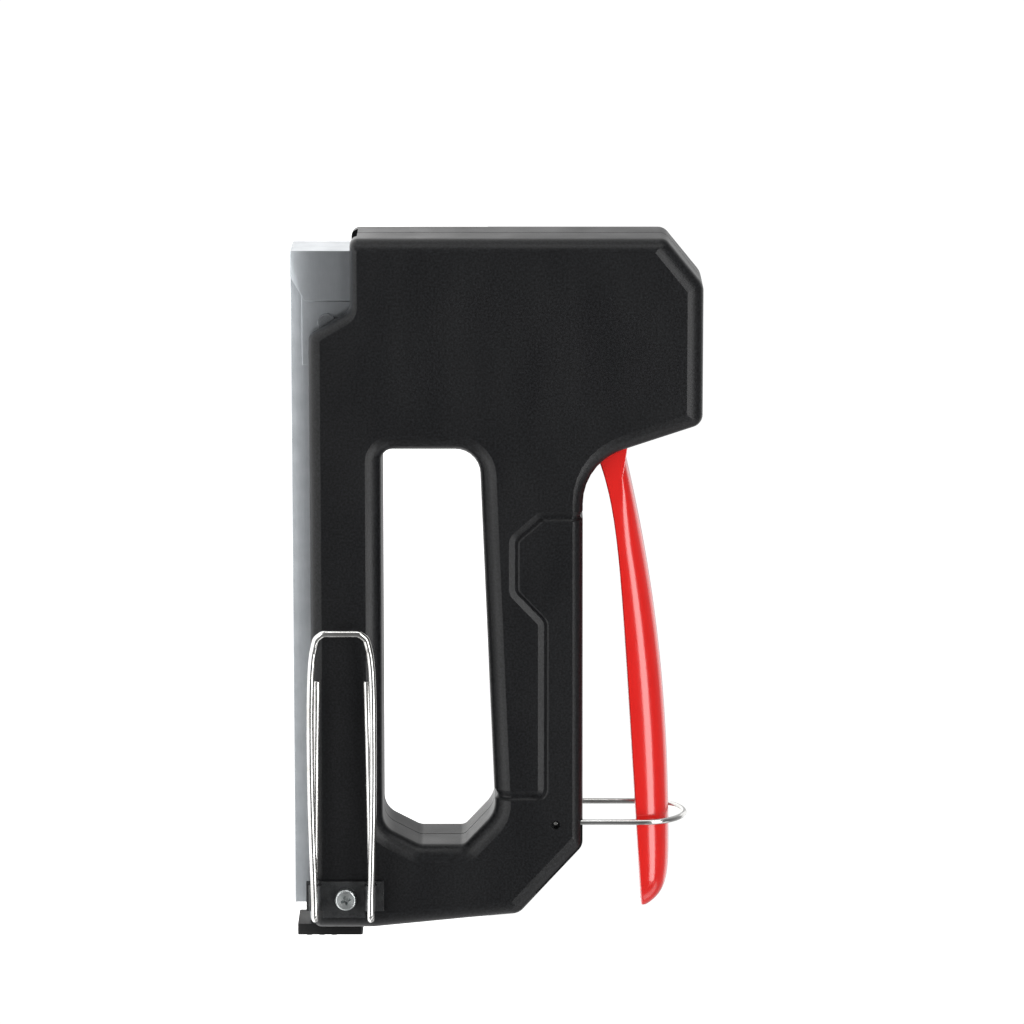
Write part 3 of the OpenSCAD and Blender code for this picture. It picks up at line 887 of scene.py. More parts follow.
def finish_piece(piece: bpy.types.Object, slot: str, body: str, replaced: Sequence[str] = (),
                 joint_squash: dict[str, object] | None = None) -> None:
    """Gives a piece its finish, its body and the node it stands for.

    Args:
        piece: the new piece.
        slot: the record's material slot.
        body: the body it moves with.
        replaced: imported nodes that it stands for.
    """
    piece.data.materials.clear()
    piece.data.materials.append(FINISHES[slot].material())
    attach(piece, body)
    if replaced:
        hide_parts(*replaced)
    if joint_squash:
        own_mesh(piece)
    LOG.info("%s: %d faces, rides on %s", piece.name, len(piece.data.polygons), body)


# ---------------------------------------------------------------- moulded body


@dataclass
class MouldedBody:
    """The two nylon halves of the body, with the room for what they hold.

    Args:
        edge_depth: depth of the rounded edge, across the body.
        crease: slope in degrees with which the rounded edge leaves the face.
        edge_end: slope in degrees with which it meets the side.
        seam: size of the small chamfer where the halves meet.
        groove_w: width of the groove on the grip.
        groove_d: depth of the groove.
        head_edge: width of the rounded edge on the head and most other sides.
        grip_top_edge: width of the rounded edge along the grip's top.
        grip_top: height of the grip's top.
        rear_post: from the finger opening to the rear face.
        pivot: where the lever turns.
        pin_bore: bore for the lever pin.
        loop_bore: bore for the lock loop's wire.
        loop_mouth: width of the dimple at that bore's outer end.
        screw_clear: bore that a body screw passes through.
        screw_pilot: bore that a screw cuts its thread in.
        screw_recess: bore that takes a body screw's head.
        screw_seat: how far from the middle plane the heads sit.
        screw_len: length of a body screw under its head.
    """

    edge_depth: float = 4.2
    crease: float = 20.0
    edge_end: float = 88.0
    seam: float = 0.25
    groove_w: float = 2.9
    groove_d: float = 0.8
    head_edge: float = 4.5
    grip_top_edge: float = 2.9
    grip_top: float = 81.2
    rear_post: float = 22.2
    pivot: tuple[float, float] = LEVER_PIVOT
    pin_bore: float = 6.1
    loop_bore: float = 1.7
    loop_mouth: float = 2.5
    screw_clear: float = 3.3
    screw_pilot: float = 3.0
    screw_recess: float = 6.2
    screw_seat: float = 6.5
    screw_len: float = 15.0

    def __post_init__(self) -> None:
        """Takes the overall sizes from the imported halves."""
        low, high = node_box("body_left")
        self.nose, self.rear = low.x, high.x - 2
        self.skirt, self.top = low.z, high.z
        self.half = -low.y
        self.loop_at = (self.rear - 28.7, self.grip_top - 7.6)
        self.clip_screw = (self.rear - 7.5, 14.5)
        self.screws = [(43.6, self.top - 10.2), (60, 68.5), (46.6, 35), (112.5, 69.2),
                       (self.rear - 12.5, 58), (self.rear - 11, 31)]

    def outline(self) -> Outline:
        """Draws the outer outline: nose, skirt, rear post, grip, neck and head.

        Returns:
            The outline.
        """
        e, g = self.head_edge, self.grip_top
        return Outline((
            Corner(self.nose, 16.5, 2.2, 2.0),
            Corner(14, 16.5, 3, 2.6),
            Corner(21, self.skirt, 3, 3.2),
            Corner(self.rear + 2, self.skirt, 2.6, e),
            Corner(self.rear + 2, 22, 20, e),
            Corner(self.rear - 0.7, g - 32.5, 40, e),
            Corner(self.rear - 2, g - 17.9, 4.5, e),
            Corner(self.rear - 21.6, g, 4, self.grip_top_edge),
            Corner(57.0, g - 0.2, 16, e),
            Corner(46.0, self.top, 3.6, e),
            Corner(6.9, self.top, 5, e),
            Corner(self.nose, self.top - 10.5, 3.4, 3.4),
        ))

    def opening(self) -> Outline:
        """Draws the outline of the finger opening.

        Returns:
            The outline, with the material outside it.
        """
        e, g, back = self.head_edge, self.grip_top, self.rear - self.rear_post
        return Outline((
            Corner(53.1, 25, 3, e), Corner(back - 5.3, 25, 6, e), Corner(back, 35.2, 4, e),
            Corner(back, g - 33.4, 2.4, e), Corner(back - 9.4, g - 24.6, 8, e),
            Corner(53.1, g - 29.0, 7, e),
        ), inward=-1)

    def section(self) -> list[tuple[float, float]]:
        """Draws the rounded edge's section, from the outer face to the seam.

        Returns:
            Pairs of edge share and place in Y.
        """
        first, last, steps = math.radians(self.crease), math.radians(self.edge_end), 8
        angles = [mix(first, last, k / steps) for k in range(steps + 1)]
        across = math.sin(last) - math.sin(first)
        down = math.cos(first) - math.cos(last)
        curve = [(1 - (math.sin(a) - math.sin(first)) / across,
                  -self.half + self.edge_depth * (math.cos(first) - math.cos(a)) / down)
                 for a in angles]
        return curve + [(0.0, -self.half / 2), (0.0, -self.seam),
                        (self.seam / self.head_edge, 0.0)]

    def groove_line(self) -> list[tuple[Vector, Vector]]:
        """Draws the groove's centre line.

        It runs from the seam over the grip's top edge, down the face with two jogs, and
        over the finger side's edge back to the seam.

        Returns:
            Places along the line, each with the surface normal there.
        """
        g = self.grip_top
        first, last = 71.6, self.rear - self.rear_post - 14.8
        corners = [(first, g - 6), (first, g - 11.9), (78.1, g - 19.3), (93.2, g - 19.3),
                   (101.7, g - 11.2), (last, g - 11.2), (last, g - 15.2)]
        face = [Vector((x, -self.half, z)) for x, z in corners]
        flat = [(p, Vector((0, -1, 0))) for p in arc_path(face, 2.6, 5)]
        start = self._over_edge(first, g, 1, self.grip_top_edge)
        finish = self._over_edge(last, g - 24.8, -1, self.head_edge)
        return start + flat + list(reversed(finish))

    def _over_edge(self, x: float, z: float, up: int, width: float) -> list[tuple[Vector, Vector]]:
        """Draws the groove's centre line over one rounded edge, from the seam to the face.

        Args:
            x: place along the edge.
            z: height of the edge's outer side.
            up: 1 where that side faces up and -1 where it faces down.
            width: width of the edge.

        Returns:
            Places along the line, each with the surface normal there.
        """
        points = [(Vector((x, 0.6, z)), Vector((0, 0, up)))]
        for share, y in reversed(self.section()[:-3]):
            slope = math.asin(min(1.0, (1 - share) * (math.sin(math.radians(self.edge_end))
                              - math.sin(math.radians(self.crease)))
                              + math.sin(math.radians(self.crease))))
            normal = Vector((0, -math.cos(slope), up * math.sin(slope)))
            points.append((Vector((x, y, z - up * share * width)), normal))
        return points

    def groove(self) -> Shape:
        """Builds the cutter for the groove: one long slope, one steep wall.

        Returns:
            The closed cutter.
        """
        w, d = self.groove_w / 2, self.groove_d
        profile = [(-w - 0.2, 1.4), (-w, 0.0), (0.15 * w, -d), (0.4 * w, -d), (0.8 * w, -0.25 * d),
                   (1.05 * w, 0.0), (w + 0.5, 1.4)]
        line = self.groove_line()
        rings = []
        for i, (at, out) in enumerate(line):
            ahead = (line[min(i + 1, len(line) - 1)][0] - line[max(i - 1, 0)][0])
            ahead = (ahead - out * ahead.dot(out)).normalized()
            side = out.cross(ahead)
            rings.append([at + side * u + out * v for u, v in profile])
        return capped(rings)

    def rooms(self) -> list[Shape]:
        """Builds the cutters shared by both halves, drawn for the -Y half.

        Returns:
            The closed cutters: mechanism, magazine, loop's swing, bores, groove and the
            hollows between the grip's ribs.
        """
        x, z = self.loop_at
        gap, arm = 1.1, 11.9
        mechanism = [(-2.4, -1), (-2.4, self.top - 14), (7, self.top - 6.2), (36, self.top - 6.2),
                     (38.5, 97), (66, 95.5), (66, 82.4), (57, 79.8), (47, 77.5), (40, 77),
                     (40, -1)]
        swing = [(x - gap, z - gap), (x + gap, z - gap - 0.6), (x + 40, z - 9.5), (x + 40, z + 20),
                 (x - gap, z + 20)]
        cutters = [
            prism(mechanism, -10.3, 1),
            box((self.nose - 1, -6.8, -1), (self.rear + 13, 1, 18.4)),
            box((self.rear - 3.2, -8.1, -1), (self.rear + 17, 1, 19.7)),
            box((0, -9.3, -1), (30.5, 1, 18.4)),
            prism(swing, -arm - gap, -arm + gap),
            bore(self.pivot, -12.5, 1, self.pin_bore),
            bore(self.loop_at, -self.half - 1, -arm, self.loop_bore),
            bore(self.loop_at, -self.half - 1, -self.half + 1.4, self.loop_mouth),
            self.groove(),
        ]
        return cutters + [box((px, -self.half + 4, self.grip_top - 17.5),
                              (px + 11, 1, self.grip_top - 5.5)) for px in (82, 96, 118, 132)]

    def half_solid(self) -> Shape:
        """Returns the -Y half as a solid, before anything is cut from it."""
        return slab(self.outline(), [self.opening()], self.section())

    def build(self) -> None:
        """Builds and dresses both halves."""
        left = self.half_solid().object("body_half_left")
        cut(left, self.rooms() + [bore(p, self.screw_seat - self.screw_len - 0.5, 1,
                                       self.screw_pilot) for p in self.screws]
            + [bore(self.clip_screw, -self.half - 1, -self.half + 7, self.screw_pilot)])
        right = self.half_solid().mirrored().object("body_half_right")
        cut(right, [room.mirrored() for room in self.rooms()]
            + [bore(p, -1, self.half + 1, self.screw_clear) for p in self.screws]
            + [bore(p, self.screw_seat, self.half + 1, self.screw_recess) for p in self.screws])
        for piece, node in ((left, "body_left"), (right, "body_right")):
            shade(piece, 14)
            finish_piece(piece, "moulded_nylon", "tool", [node])


# ---------------------------------------------------------------- lever


@dataclass
class PressedLever:
    """The red lever: a pressed channel open towards the grip, flattened at its ears.

    Args:
        sheet: thickness of the steel.
        root: where the channel starts, inside the head.
        ear_inside: half the room between the two ears.
        ear_end: where the flattened ear ends.
        ear_press: how far the flattened ear lies inside the channel's flank.
        stations: sections along the lever.
        around: pieces along one section's arch.
        pin_bore: bore for the lever pin.
        roller_bore: bore for the lift pin.
    """

    sheet: float = 1.5
    root: float = 50.0
    ear_inside: float = 8.1
    ear_end: float = 68.0
    ear_press: float = 0.5
    stations: int = 96
    around: int = 44
    pin_bore: float = 6.1
    roller_bore: float = 4.1

    def __post_init__(self) -> None:
        """Takes the lever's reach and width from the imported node."""
        low, high = node_box("lever")
        self.tip = high.x
        self.half = high.y
        self.pivot = Vector(LEVER_PIVOT)
        pin_low, pin_high = node_box("lift_pin")
        self.lift = ((pin_low.x + pin_high.x) / 2, (pin_low.z + pin_high.z) / 2)

    def along(self, x: float) -> float:
        """Returns the share of the way from the root to the tip."""
        return (x - self.root) / (self.tip - self.root)

    def crest(self, x: float) -> float:
        """Returns the height of the back: steep at the root, then level, then down at the tip."""
        s = self.along(x)
        return 91.4 + 34.8 * s - 21.7 * s ** 2 + 1.6 * s ** 8 - 6.1 * s ** 34

    def rim(self, x: float) -> float:
        """Returns the height of the lower edge, which dips at the root and then rises evenly."""
        s = self.along(x)
        return 89.7 + 8.6 * s - 7.1 * math.exp(-10 * s)

    def width(self, x: float) -> float:
        """Returns half the lever's width."""
        s = self.along(x)
        return self.half * (1 - 0.04 * math.sin(math.pi * s)) * math.sqrt(1 - 0.84 * s ** 20)

    def pressed(self, x: float, y: float, z: float) -> float:
        """Works out how far the flattened ear presses the flank in.

        Args:
            x: place along the lever.
            y: place across it.
            z: height.

        Returns:
            The distance towards the middle.
        """
        low, high = self.rim(x), self.crest(x) - 1.5
        u = (z - low) / max(high - low, 0.1)
        end = self.ear_end - 5.5 * max(0.0, u) ** 2.4
        share = smoothstep(-0.5, 0.5, end - x) * smoothstep(0, 0.1, 1 - u)
        return share * max(0.0, abs(y) - (self.half - self.ear_press))

    def arch(self, x: float, inset: float) -> list[Vector]:
        """Draws one section of the channel, from the -Y rim over the back.

        Args:
            x: place along the lever.
            inset: 0 for the outer skin, or the sheet's thickness for the inner one.

        Returns:
            The section's points.
        """
        soft = smoothstep(52, 84, x)
        side_power, back_power = mix(0.34, 0.74, soft), mix(0.42, 0.86, soft)
        low, top, w = self.rim(x), self.crest(x) - inset, self.width(x) - inset
        points = []
        for k in range(self.around + 1):
            a = math.pi * (1 - k / self.around)
            c, s = math.cos(a), max(math.sin(a), 0.0)
            y = w * math.copysign(abs(c) ** side_power, c)
            z = low + (top - low) * s ** back_power
            if not inset:
                y -= math.copysign(self.pressed(x, y, z), y)
            points.append(Vector((x, y, z)))
        return points

    def channel(self) -> Shape:
        """Builds the channel with its own thickness and rounded rims.

        Returns:
            The closed channel.
        """
        places = [mix(self.root, self.tip, 1 - (1 - i / self.stations) ** 1.5)
                  for i in range(self.stations + 1)]
        rings = []
        for x in places:
            outer, inner = self.arch(x, 0), self.arch(x, self.sheet)
            rings.append(outer + self._rim_points(outer[-1], inner[-1])
                         + inner[::-1] + self._rim_points(inner[0], outer[0]))
        shape = bridge(rings)
        count = len(rings[0])
        half = self.around + 1
        for base in (0, (len(rings) - 1) * count):
            pairs = [(k, half + 3 + (half - 1 - k)) for k in range(half)]
            shape.faces += [(base + a, base + a + 1, base + b - 1, base + b)
                            for a, b in pairs[:-1]]
            shape.faces += [tuple(base + k for k in range(half - 1, half + 4)),
                            tuple(base + k % count for k in range(2 * half + 2, count + 1))]
        return shape

    @staticmethod
    def _rim_points(a: Vector, b: Vector) -> list[Vector]:
        """Returns three points that round the rim from a to b."""
        return [a.lerp(b, share) - Vector((0, 0, drop))
                for share, drop in ((0.18, 0.22), (0.5, 0.34), (0.82, 0.22))]

    def ear(self, side: int) -> Shape:
        """Builds the flat ear that reaches from the channel to the pins.

        Args:
            side: -1 for the -Y ear and 1 for the other.

        Returns:
            The closed ear.
        """
        (lx, lz), p = self.lift, self.pivot
        outline = Outline((
            Corner(lx - 5.4, lz - 4.5, 5, 0.4), Corner(lx + 2, lz - 4.5, 8, 0.4),
            Corner(p.x - 3, p.y - 7.2, 9, 0.4), Corner(54, self.rim(54) + 0.1, 14, 0.4),
            Corner(63, self.rim(63) + 0.3, 1, 0.4), Corner(63, self.crest(63) - 2.5, 1, 0.4),
            Corner(p.x + 6, p.y + 6.2, 10, 0.4), Corner(p.x - 6, p.y + 7.2, 10, 0.4),
            Corner(lx - 5.4, lz + 4.8, 5, 0.4)), steps=8)
        outer = self.half - self.ear_press - 0.03
        section = [(1, -outer), (0.3, -outer + 0.08), (0, -outer + 0.4),
                   (0, -self.ear_inside - 0.4), (0.3, -self.ear_inside - 0.08),
                   (1, -self.ear_inside)]
        shape = slab(outline, [], section)
        return shape if side < 0 else shape.mirrored()

    def build(self) -> None:
        """Builds the lever and joins its ears."""
        piece = self.channel().object("lever_pressing")
        cut(piece, [self.ear(-1), self.ear(1)], join=True)
        cut(piece, [bore(at, -20, 20, d) for at, d in ((LEVER_PIVOT, self.pin_bore),
                                                       (self.lift, self.roller_bore))])
        shade(piece, 32)
        finish_piece(piece, "red_enamel", "lever", ["lever"])


# ---------------------------------------------------------------- wires and springs


@dataclass
class LockLoop:
    """The bent wire that swings over the lever and holds it down.

    Args:
        wire: wire diameter.
        reach: distance from the pivot to the far bend's wire centre.
        bow: radius of the far bend.
        bend: radius where the ends turn out.
    """

    wire: float = 1.6
    reach: float = 36.4
    bow: float = 11.9
    bend: float = 1.1

    def build(self) -> None:
        """Builds the loop from its turned-out ends round the far bend."""
        low, high = node_box("lock_loop")
        centre = Vector(((low.x + high.x) / 2, 0, low.z + self.wire / 2))
        end = high.y
        r, arm = self.bow, self.reach - self.bow
        side = arc_path([Vector((0, -end, 0)), Vector((0, -r, 0)), Vector((0, -r, arm))],
                        self.bend, 6)
        turns = [math.pi * k / 40 for k in range(1, 40)]
        bow = [Vector((0, -r * math.cos(a), arm + r * math.sin(a))) for a in turns]
        path = side + bow + [Vector((p.x, -p.y, p.z)) for p in reversed(side)]
        piece = sweep([p + centre for p in path], self.wire, 24).object("lock_loop_wire")
        shade(piece, 60)
        finish_piece(piece, "nickel_wire", "loop", ["lock_loop"])


@dataclass
class BeltClip:
    """The wire clip: two strands folded back at the rear and joined by a bar in front.

    Args:
        wire: wire diameter.
        span: distance between the strands at the fixed end.
        turn: radius of the hairpins.
        height: height of the clip's middle.
        body_half: half the body's width.
        plate: thickness of the plate under the strands.
    """

    wire: float = 2.0
    span: float = 15.7
    turn: float = 2.2
    height: float = 13.8
    body_half: float = 15.0
    plate: float = 1.0

    def strand(self, side: int) -> list[Vector]:
        """Draws one strand from its free end to the middle of the bar.

        Args:
            side: -1 for the lower strand and 1 for the upper one.

        Returns:
            The points of its centre line.
        """
        low, high = node_box("belt_clip")
        half, back = self.span / 2, -self.body_half - self.plate - self.wire / 2
        bend = high.x - self.wire / 2 - self.turn
        end = low.x + self.wire / 2
        front = back - 2 * self.turn

        def at(x: float, y: float, z: float) -> Vector:
            """Returns a place, its height counted from the clip's middle to this side."""
            return Vector((x, y, self.height + side * z))

        straight = flow([at(end + 14.7, back, half - 0.9), at(end + 34, back, half - 0.5),
                         at(bend - 13, back, half)], 8)
        hairpin = [at(bend + self.turn * math.cos(a), back - self.turn + self.turn * math.sin(a),
                      half) for a in (math.radians(90 - 15 * k) for k in range(13))]
        spring = flow([at(bend - 3, front, half), at(end + 50, front, half + 0.75),
                       at(end + 28, front - 0.1, half + 0.9),
                       at(end + 14, front + 1.5, half + 0.7),
                       at(end + 7, front + 1.4, half + 0.2),
                       at(end + 3.6, front + 0.7, half - 0.4)], 6)
        corner = arc_path([spring[-1], at(end + 1.6, front + 0.4, half - 0.9),
                           at(end, front, half - 2.8), at(end, front, 0)], 2.2, 6)
        return straight + hairpin + spring + corner[1:]

    def build(self) -> None:
        """Builds the clip as one wire."""
        lower, upper = self.strand(-1), self.strand(1)
        path = lower + upper[-2::-1]
        piece = sweep(path, self.wire, 24).object("belt_clip_wire")
        shade(piece, 60)
        finish_piece(piece, "nickel_wire", "tool", ["belt_clip"])


class Axis(Enum):
    """Direction of a coil spring."""

    X = "x"
    Z = "z"


@dataclass
class CoilSpring:
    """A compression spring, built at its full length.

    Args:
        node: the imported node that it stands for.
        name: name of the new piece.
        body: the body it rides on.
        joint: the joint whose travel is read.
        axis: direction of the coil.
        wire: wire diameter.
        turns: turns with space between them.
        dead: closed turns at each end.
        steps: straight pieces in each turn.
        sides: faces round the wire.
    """

    node: str
    name: str
    body: str
    joint: str
    axis: Axis
    wire: float
    turns: float
    dead: float = 1.0
    steps: int = 20
    sides: int = 10

    def path(self, length: float, radius: float) -> list[Vector]:
        """Draws the coil's centre line along X from the origin.

        Args:
            length: length between the centres of the end turns' wires.
            radius: radius of the centre line.

        Returns:
            The points of the line.
        """
        total = self.turns + 2 * self.dead
        closed = self.dead * self.wire * 1.04
        points = []
        for i in range(round(total * self.steps) + 1):
            turn = i / self.steps
            if turn < self.dead:
                x = closed * turn / self.dead
            elif turn > total - self.dead:
                x = length - closed * (total - turn) / self.dead
            else:
                x = mix(closed, length - closed, (turn - self.dead) / self.turns)
            a = 2 * math.pi * turn
            points.append(Vector((x, radius * math.cos(a), radius * math.sin(a))))
        return points

    def build(self) -> None:
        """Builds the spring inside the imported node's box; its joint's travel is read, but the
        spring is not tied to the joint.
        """
        low, high = node_box(self.node)
        middle = (low + high) / 2
        joint = next(j for j in frame["joints"] if j["name"] == self.joint)
        travel = joint["range_m"][1] / MM
        if self.axis is Axis.X:
            span, outer = high.x - low.x, high.z - low.z
            start = Vector((low.x + self.wire / 2, middle.y, middle.z))
            turned = Matrix.Identity(3)
            direction, anchor = (1, 0, 0), (high.x, middle.y, middle.z)
        else:
            span, outer = high.z - low.z, high.y - low.y
            start = Vector((middle.x, middle.y, low.z + self.wire / 2))
            turned = Matrix.Rotation(-math.pi / 2, 3, "Y")
            direction, anchor = (0, 0, 1), (middle.x, middle.y, high.z)
        line = self.path(span - self.wire, (outer - self.wire) / 2)
        piece = sweep([start + turned @ p for p in line], self.wire, self.sides).object(self.name)
        shade(piece, 60)
        finish_piece(piece, "spring_steel", self.body, [self.node],
                     {"joint": self.joint, "axis": direction,
                      "anchor": tuple(c * MM for c in anchor), "keep": (span - travel) / span})


@dataclass
class LeverSpring:
    """The torsion spring round the lever pin.

    Args:
        wire: wire diameter.
        turns: turns round the pin.
        length: length of the coil along the pin.
        pin_d: diameter of the lever pin.
        play: room between the pin and the coil.
    """

    wire: float = 1.2
    turns: int = 5
    length: float = 8.0
    pin_d: float = 6.0
    play: float = 0.3

    def build(self) -> None:
        """Builds the coil and its two legs."""
        (px, pz), steps = LEVER_PIVOT, 24
        r = self.pin_d / 2 + self.play + self.wire / 2
        legs = [Vector((px - 8, -self.length / 2, pz - r))]
        last = self.turns + 1 / 6
        coil = []
        for i in range(round(last * steps) + 1):
            a = math.radians(270) + 2 * math.pi * i / steps
            y = -self.length / 2 + self.length * i / (steps * self.turns)
            coil.append(Vector((px + r * math.cos(a), y, pz + r * math.sin(a))))
        ahead = (coil[-1] - coil[-2]).normalized()
        path = legs + coil + [coil[-1] + ahead * 4.5]
        piece = sweep(path, self.wire, 14).object("lever_return_spring")
        shade(piece, 60)
        finish_piece(piece, "spring_steel", "lever", ["lever_spring"])


# ---------------------------------------------------------------- screws


@dataclass
class CrossScrew:
    """A pan-head screw with a cross recess and a rolled thread.

    Args:
        head_d: head diameter.
        head_h: head height.
        thread_d: thread diameter.
        length: length under the head.
        pitch: thread pitch.
    """

    head_d: float
    head_h: float
    thread_d: float
    length: float
    pitch: float = 1.1

    def head(self) -> list[tuple[float, float]]:
        """Draws the head's section.

        Returns:
            Pairs of radius and height, from the underside up.
        """
        r, h = self.head_d / 2, self.head_h
        dome = [(r * (0.78 + 0.22 * math.cos(a)), h * (0.45 + 0.42 * math.sin(a)))
                for a in (math.radians(10 * k) for k in range(10))]
        return [(self.thread_d / 2, 0.0), (r * 0.97, 0.0), (r, h * 0.08)] + dome \
            + [(r * 0.5, h * 0.95), (r * 0.2, h)]

    def shape(self) -> Shape:
        """Builds the screw standing along +Z, its head's underside at the origin.

        Returns:
            The closed screw, with no recess.
        """
        rings = []
        core, crest = self.thread_d * 0.39, self.thread_d / 2
        steps, sides = round(self.length / self.pitch) * 2, 40
        for i in range(steps + 1):
            r = core if i % 2 else crest
            z = -self.length + self.length * i / steps
            taper = smoothstep(0, 2.5, z + self.length)
            rings.append((mix(0.4, r, max(taper, 0.25)), z))
        profile = rings[:-1] + self.head()
        loops = [[Vector((r * math.cos(a), r * math.sin(a), z))
                  for a in (2 * math.pi * k / sides for k in range(sides))] for r, z in profile]
        return capped(loops)

    def recess(self) -> list[Shape]:
        """Builds the cutters of the cross recess, along +Z.

        Returns:
            Two crossed wedges.
        """
        reach, wing, deep = self.head_d * 0.27, self.head_d * 0.055, self.head_h * 0.62
        tools = []
        for turn in (0, math.pi / 2):
            loops = []
            for z, share in ((self.head_h + 0.3, 1.0), (self.head_h - deep, 0.42)):
                flat = [(-reach * share, -wing), (reach * share, -wing), (reach * share, wing),
                        (-reach * share, wing)]
                loops.append([Vector((x * math.cos(turn) - y * math.sin(turn),
                                      x * math.sin(turn) + y * math.cos(turn), z))
                              for x, y in flat])
            tools.append(capped(loops))
        return tools

    def place(self, name: str, at: Vector, turn: Matrix) -> bpy.types.Object:
        """Builds the screw and sets it in its hole.

        Args:
            name: name of the new object.
            at: where the head's underside sits.
            turn: turns +Z to the way the head faces.

        Returns:
            The object.
        """
        piece = self.shape().object(name)
        cut(piece, self.recess())
        piece.data.transform(Matrix.Translation(at * MM) @ turn.to_4x4())
        shade(piece, 26)
        return piece


def join(pieces: Sequence[bpy.types.Object]) -> bpy.types.Object:
    """Joins several mesh objects into the first one.

    Args:
        pieces: the objects.

    Returns:
        The first object, which now holds them all.
    """
    bm = bmesh.new()
    for piece in pieces:
        bm.from_mesh(piece.data)
    bm.to_mesh(pieces[0].data)
    bm.free()
    for piece in pieces[1:]:
        bpy.data.objects.remove(piece)
    return pieces[0]


@dataclass
class Screws:
    """The body's screws and the belt clip's screw.

    Args:
        body: the body that they are driven into.
    """

    body: MouldedBody

    def build(self) -> None:
        """Builds six body screws as one piece and the clip's screw as another."""
        out = Matrix.Rotation(-math.pi / 2, 3, "X")
        model = CrossScrew(5.6, 2.2, 2.9, 15)
        made = [model.place(f"body_screw_{i}", Vector((x, self.body.screw_seat, z)),
                            out @ Matrix.Rotation(0.5 * i, 3, "Z"))
                for i, (x, z) in enumerate(self.body.screws)]
        joined = join(made)
        joined.name = "body_screw_set"
        finish_piece(joined, "zinc_screw", "tool", ["body_screws"])
        x, z = self.body.clip_screw
        front = Matrix.Rotation(math.pi / 2, 3, "X")
        clip = CrossScrew(6.2, 2.2, 2.9, 7.5).place(
            "belt_clip_screw", Vector((x, -self.body.half - 1, z)),
            front @ Matrix.Rotation(0.35, 3, "Z"))
        finish_piece(clip, "zinc_screw", "tool", ["clip_screw"])


# ---------------------------------------------------------------- carried-over nodes


@dataclass(frozen=True)
class Carried:
    """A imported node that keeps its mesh.

    Args:
        node: the node's name.
        slot: its material slot.
        edge: width of the broken edge that a modifier gives it.
    """

    node: str
    slot: str
    edge: float = 0.18

    def build(self) -> None:
        """Breaks the node's sharp edges and gives it its finish."""
        piece = frame["nodes"][self.node]
        weld = piece.modifiers.new("weld", "WELD")
        weld.merge_threshold = 1e-6
        bevel = piece.modifiers.new("broken_edge", "BEVEL")
        bevel.width = self.edge * MM
        bevel.segments = 2
        bevel.limit_method = "ANGLE"
        bevel.angle_limit = math.radians(40)
        bevel.use_clamp_overlap = True
        piece.data.shade_smooth()
        normals = piece.modifiers.new("even_normals", "WEIGHTED_NORMAL")
        normals.keep_sharp = True
        piece.data.materials.clear()
        piece.data.materials.append(FINISHES[self.slot].material())
        LOG.info("%s: kept, finished as %s", self.node, self.slot)


CARRIED = (
    Carried("mechanism_frame", "plated_sheet"), Carried("nose_plate", "plated_sheet", 0.3),
    Carried("driver_plunger", "dark_steel", 0.3), Carried("driver_blade", "hardened_blade", 0.1),
    Carried("blade_rivets", "dark_steel"), Carried("spring_seat", "dark_steel"),
    Carried("bumper", "bumper_rubber", 0.5), Carried("lever_pin", "dark_steel", 0.3),
    Carried("lift_pin", "dark_steel", 0.3), Carried("lift_roller", "dark_steel", 0.3),
    Carried("magazine_channel", "plated_sheet"), Carried("magazine_rivets", "dark_steel", 0.3),
    Carried("staple_rail", "plated_sheet"), Carried("pusher_rod", "spring_steel", 0.2),
    Carried("staple_pusher", "dark_steel", 0.25), Carried("rail_end_cap", "smooth_nylon", 0.45),
    Carried("end_cap_rivet", "dark_steel", 0.2), Carried("clip_plate", "dark_plate", 0.15),
)


# ---------------------------------------------------------------- studio


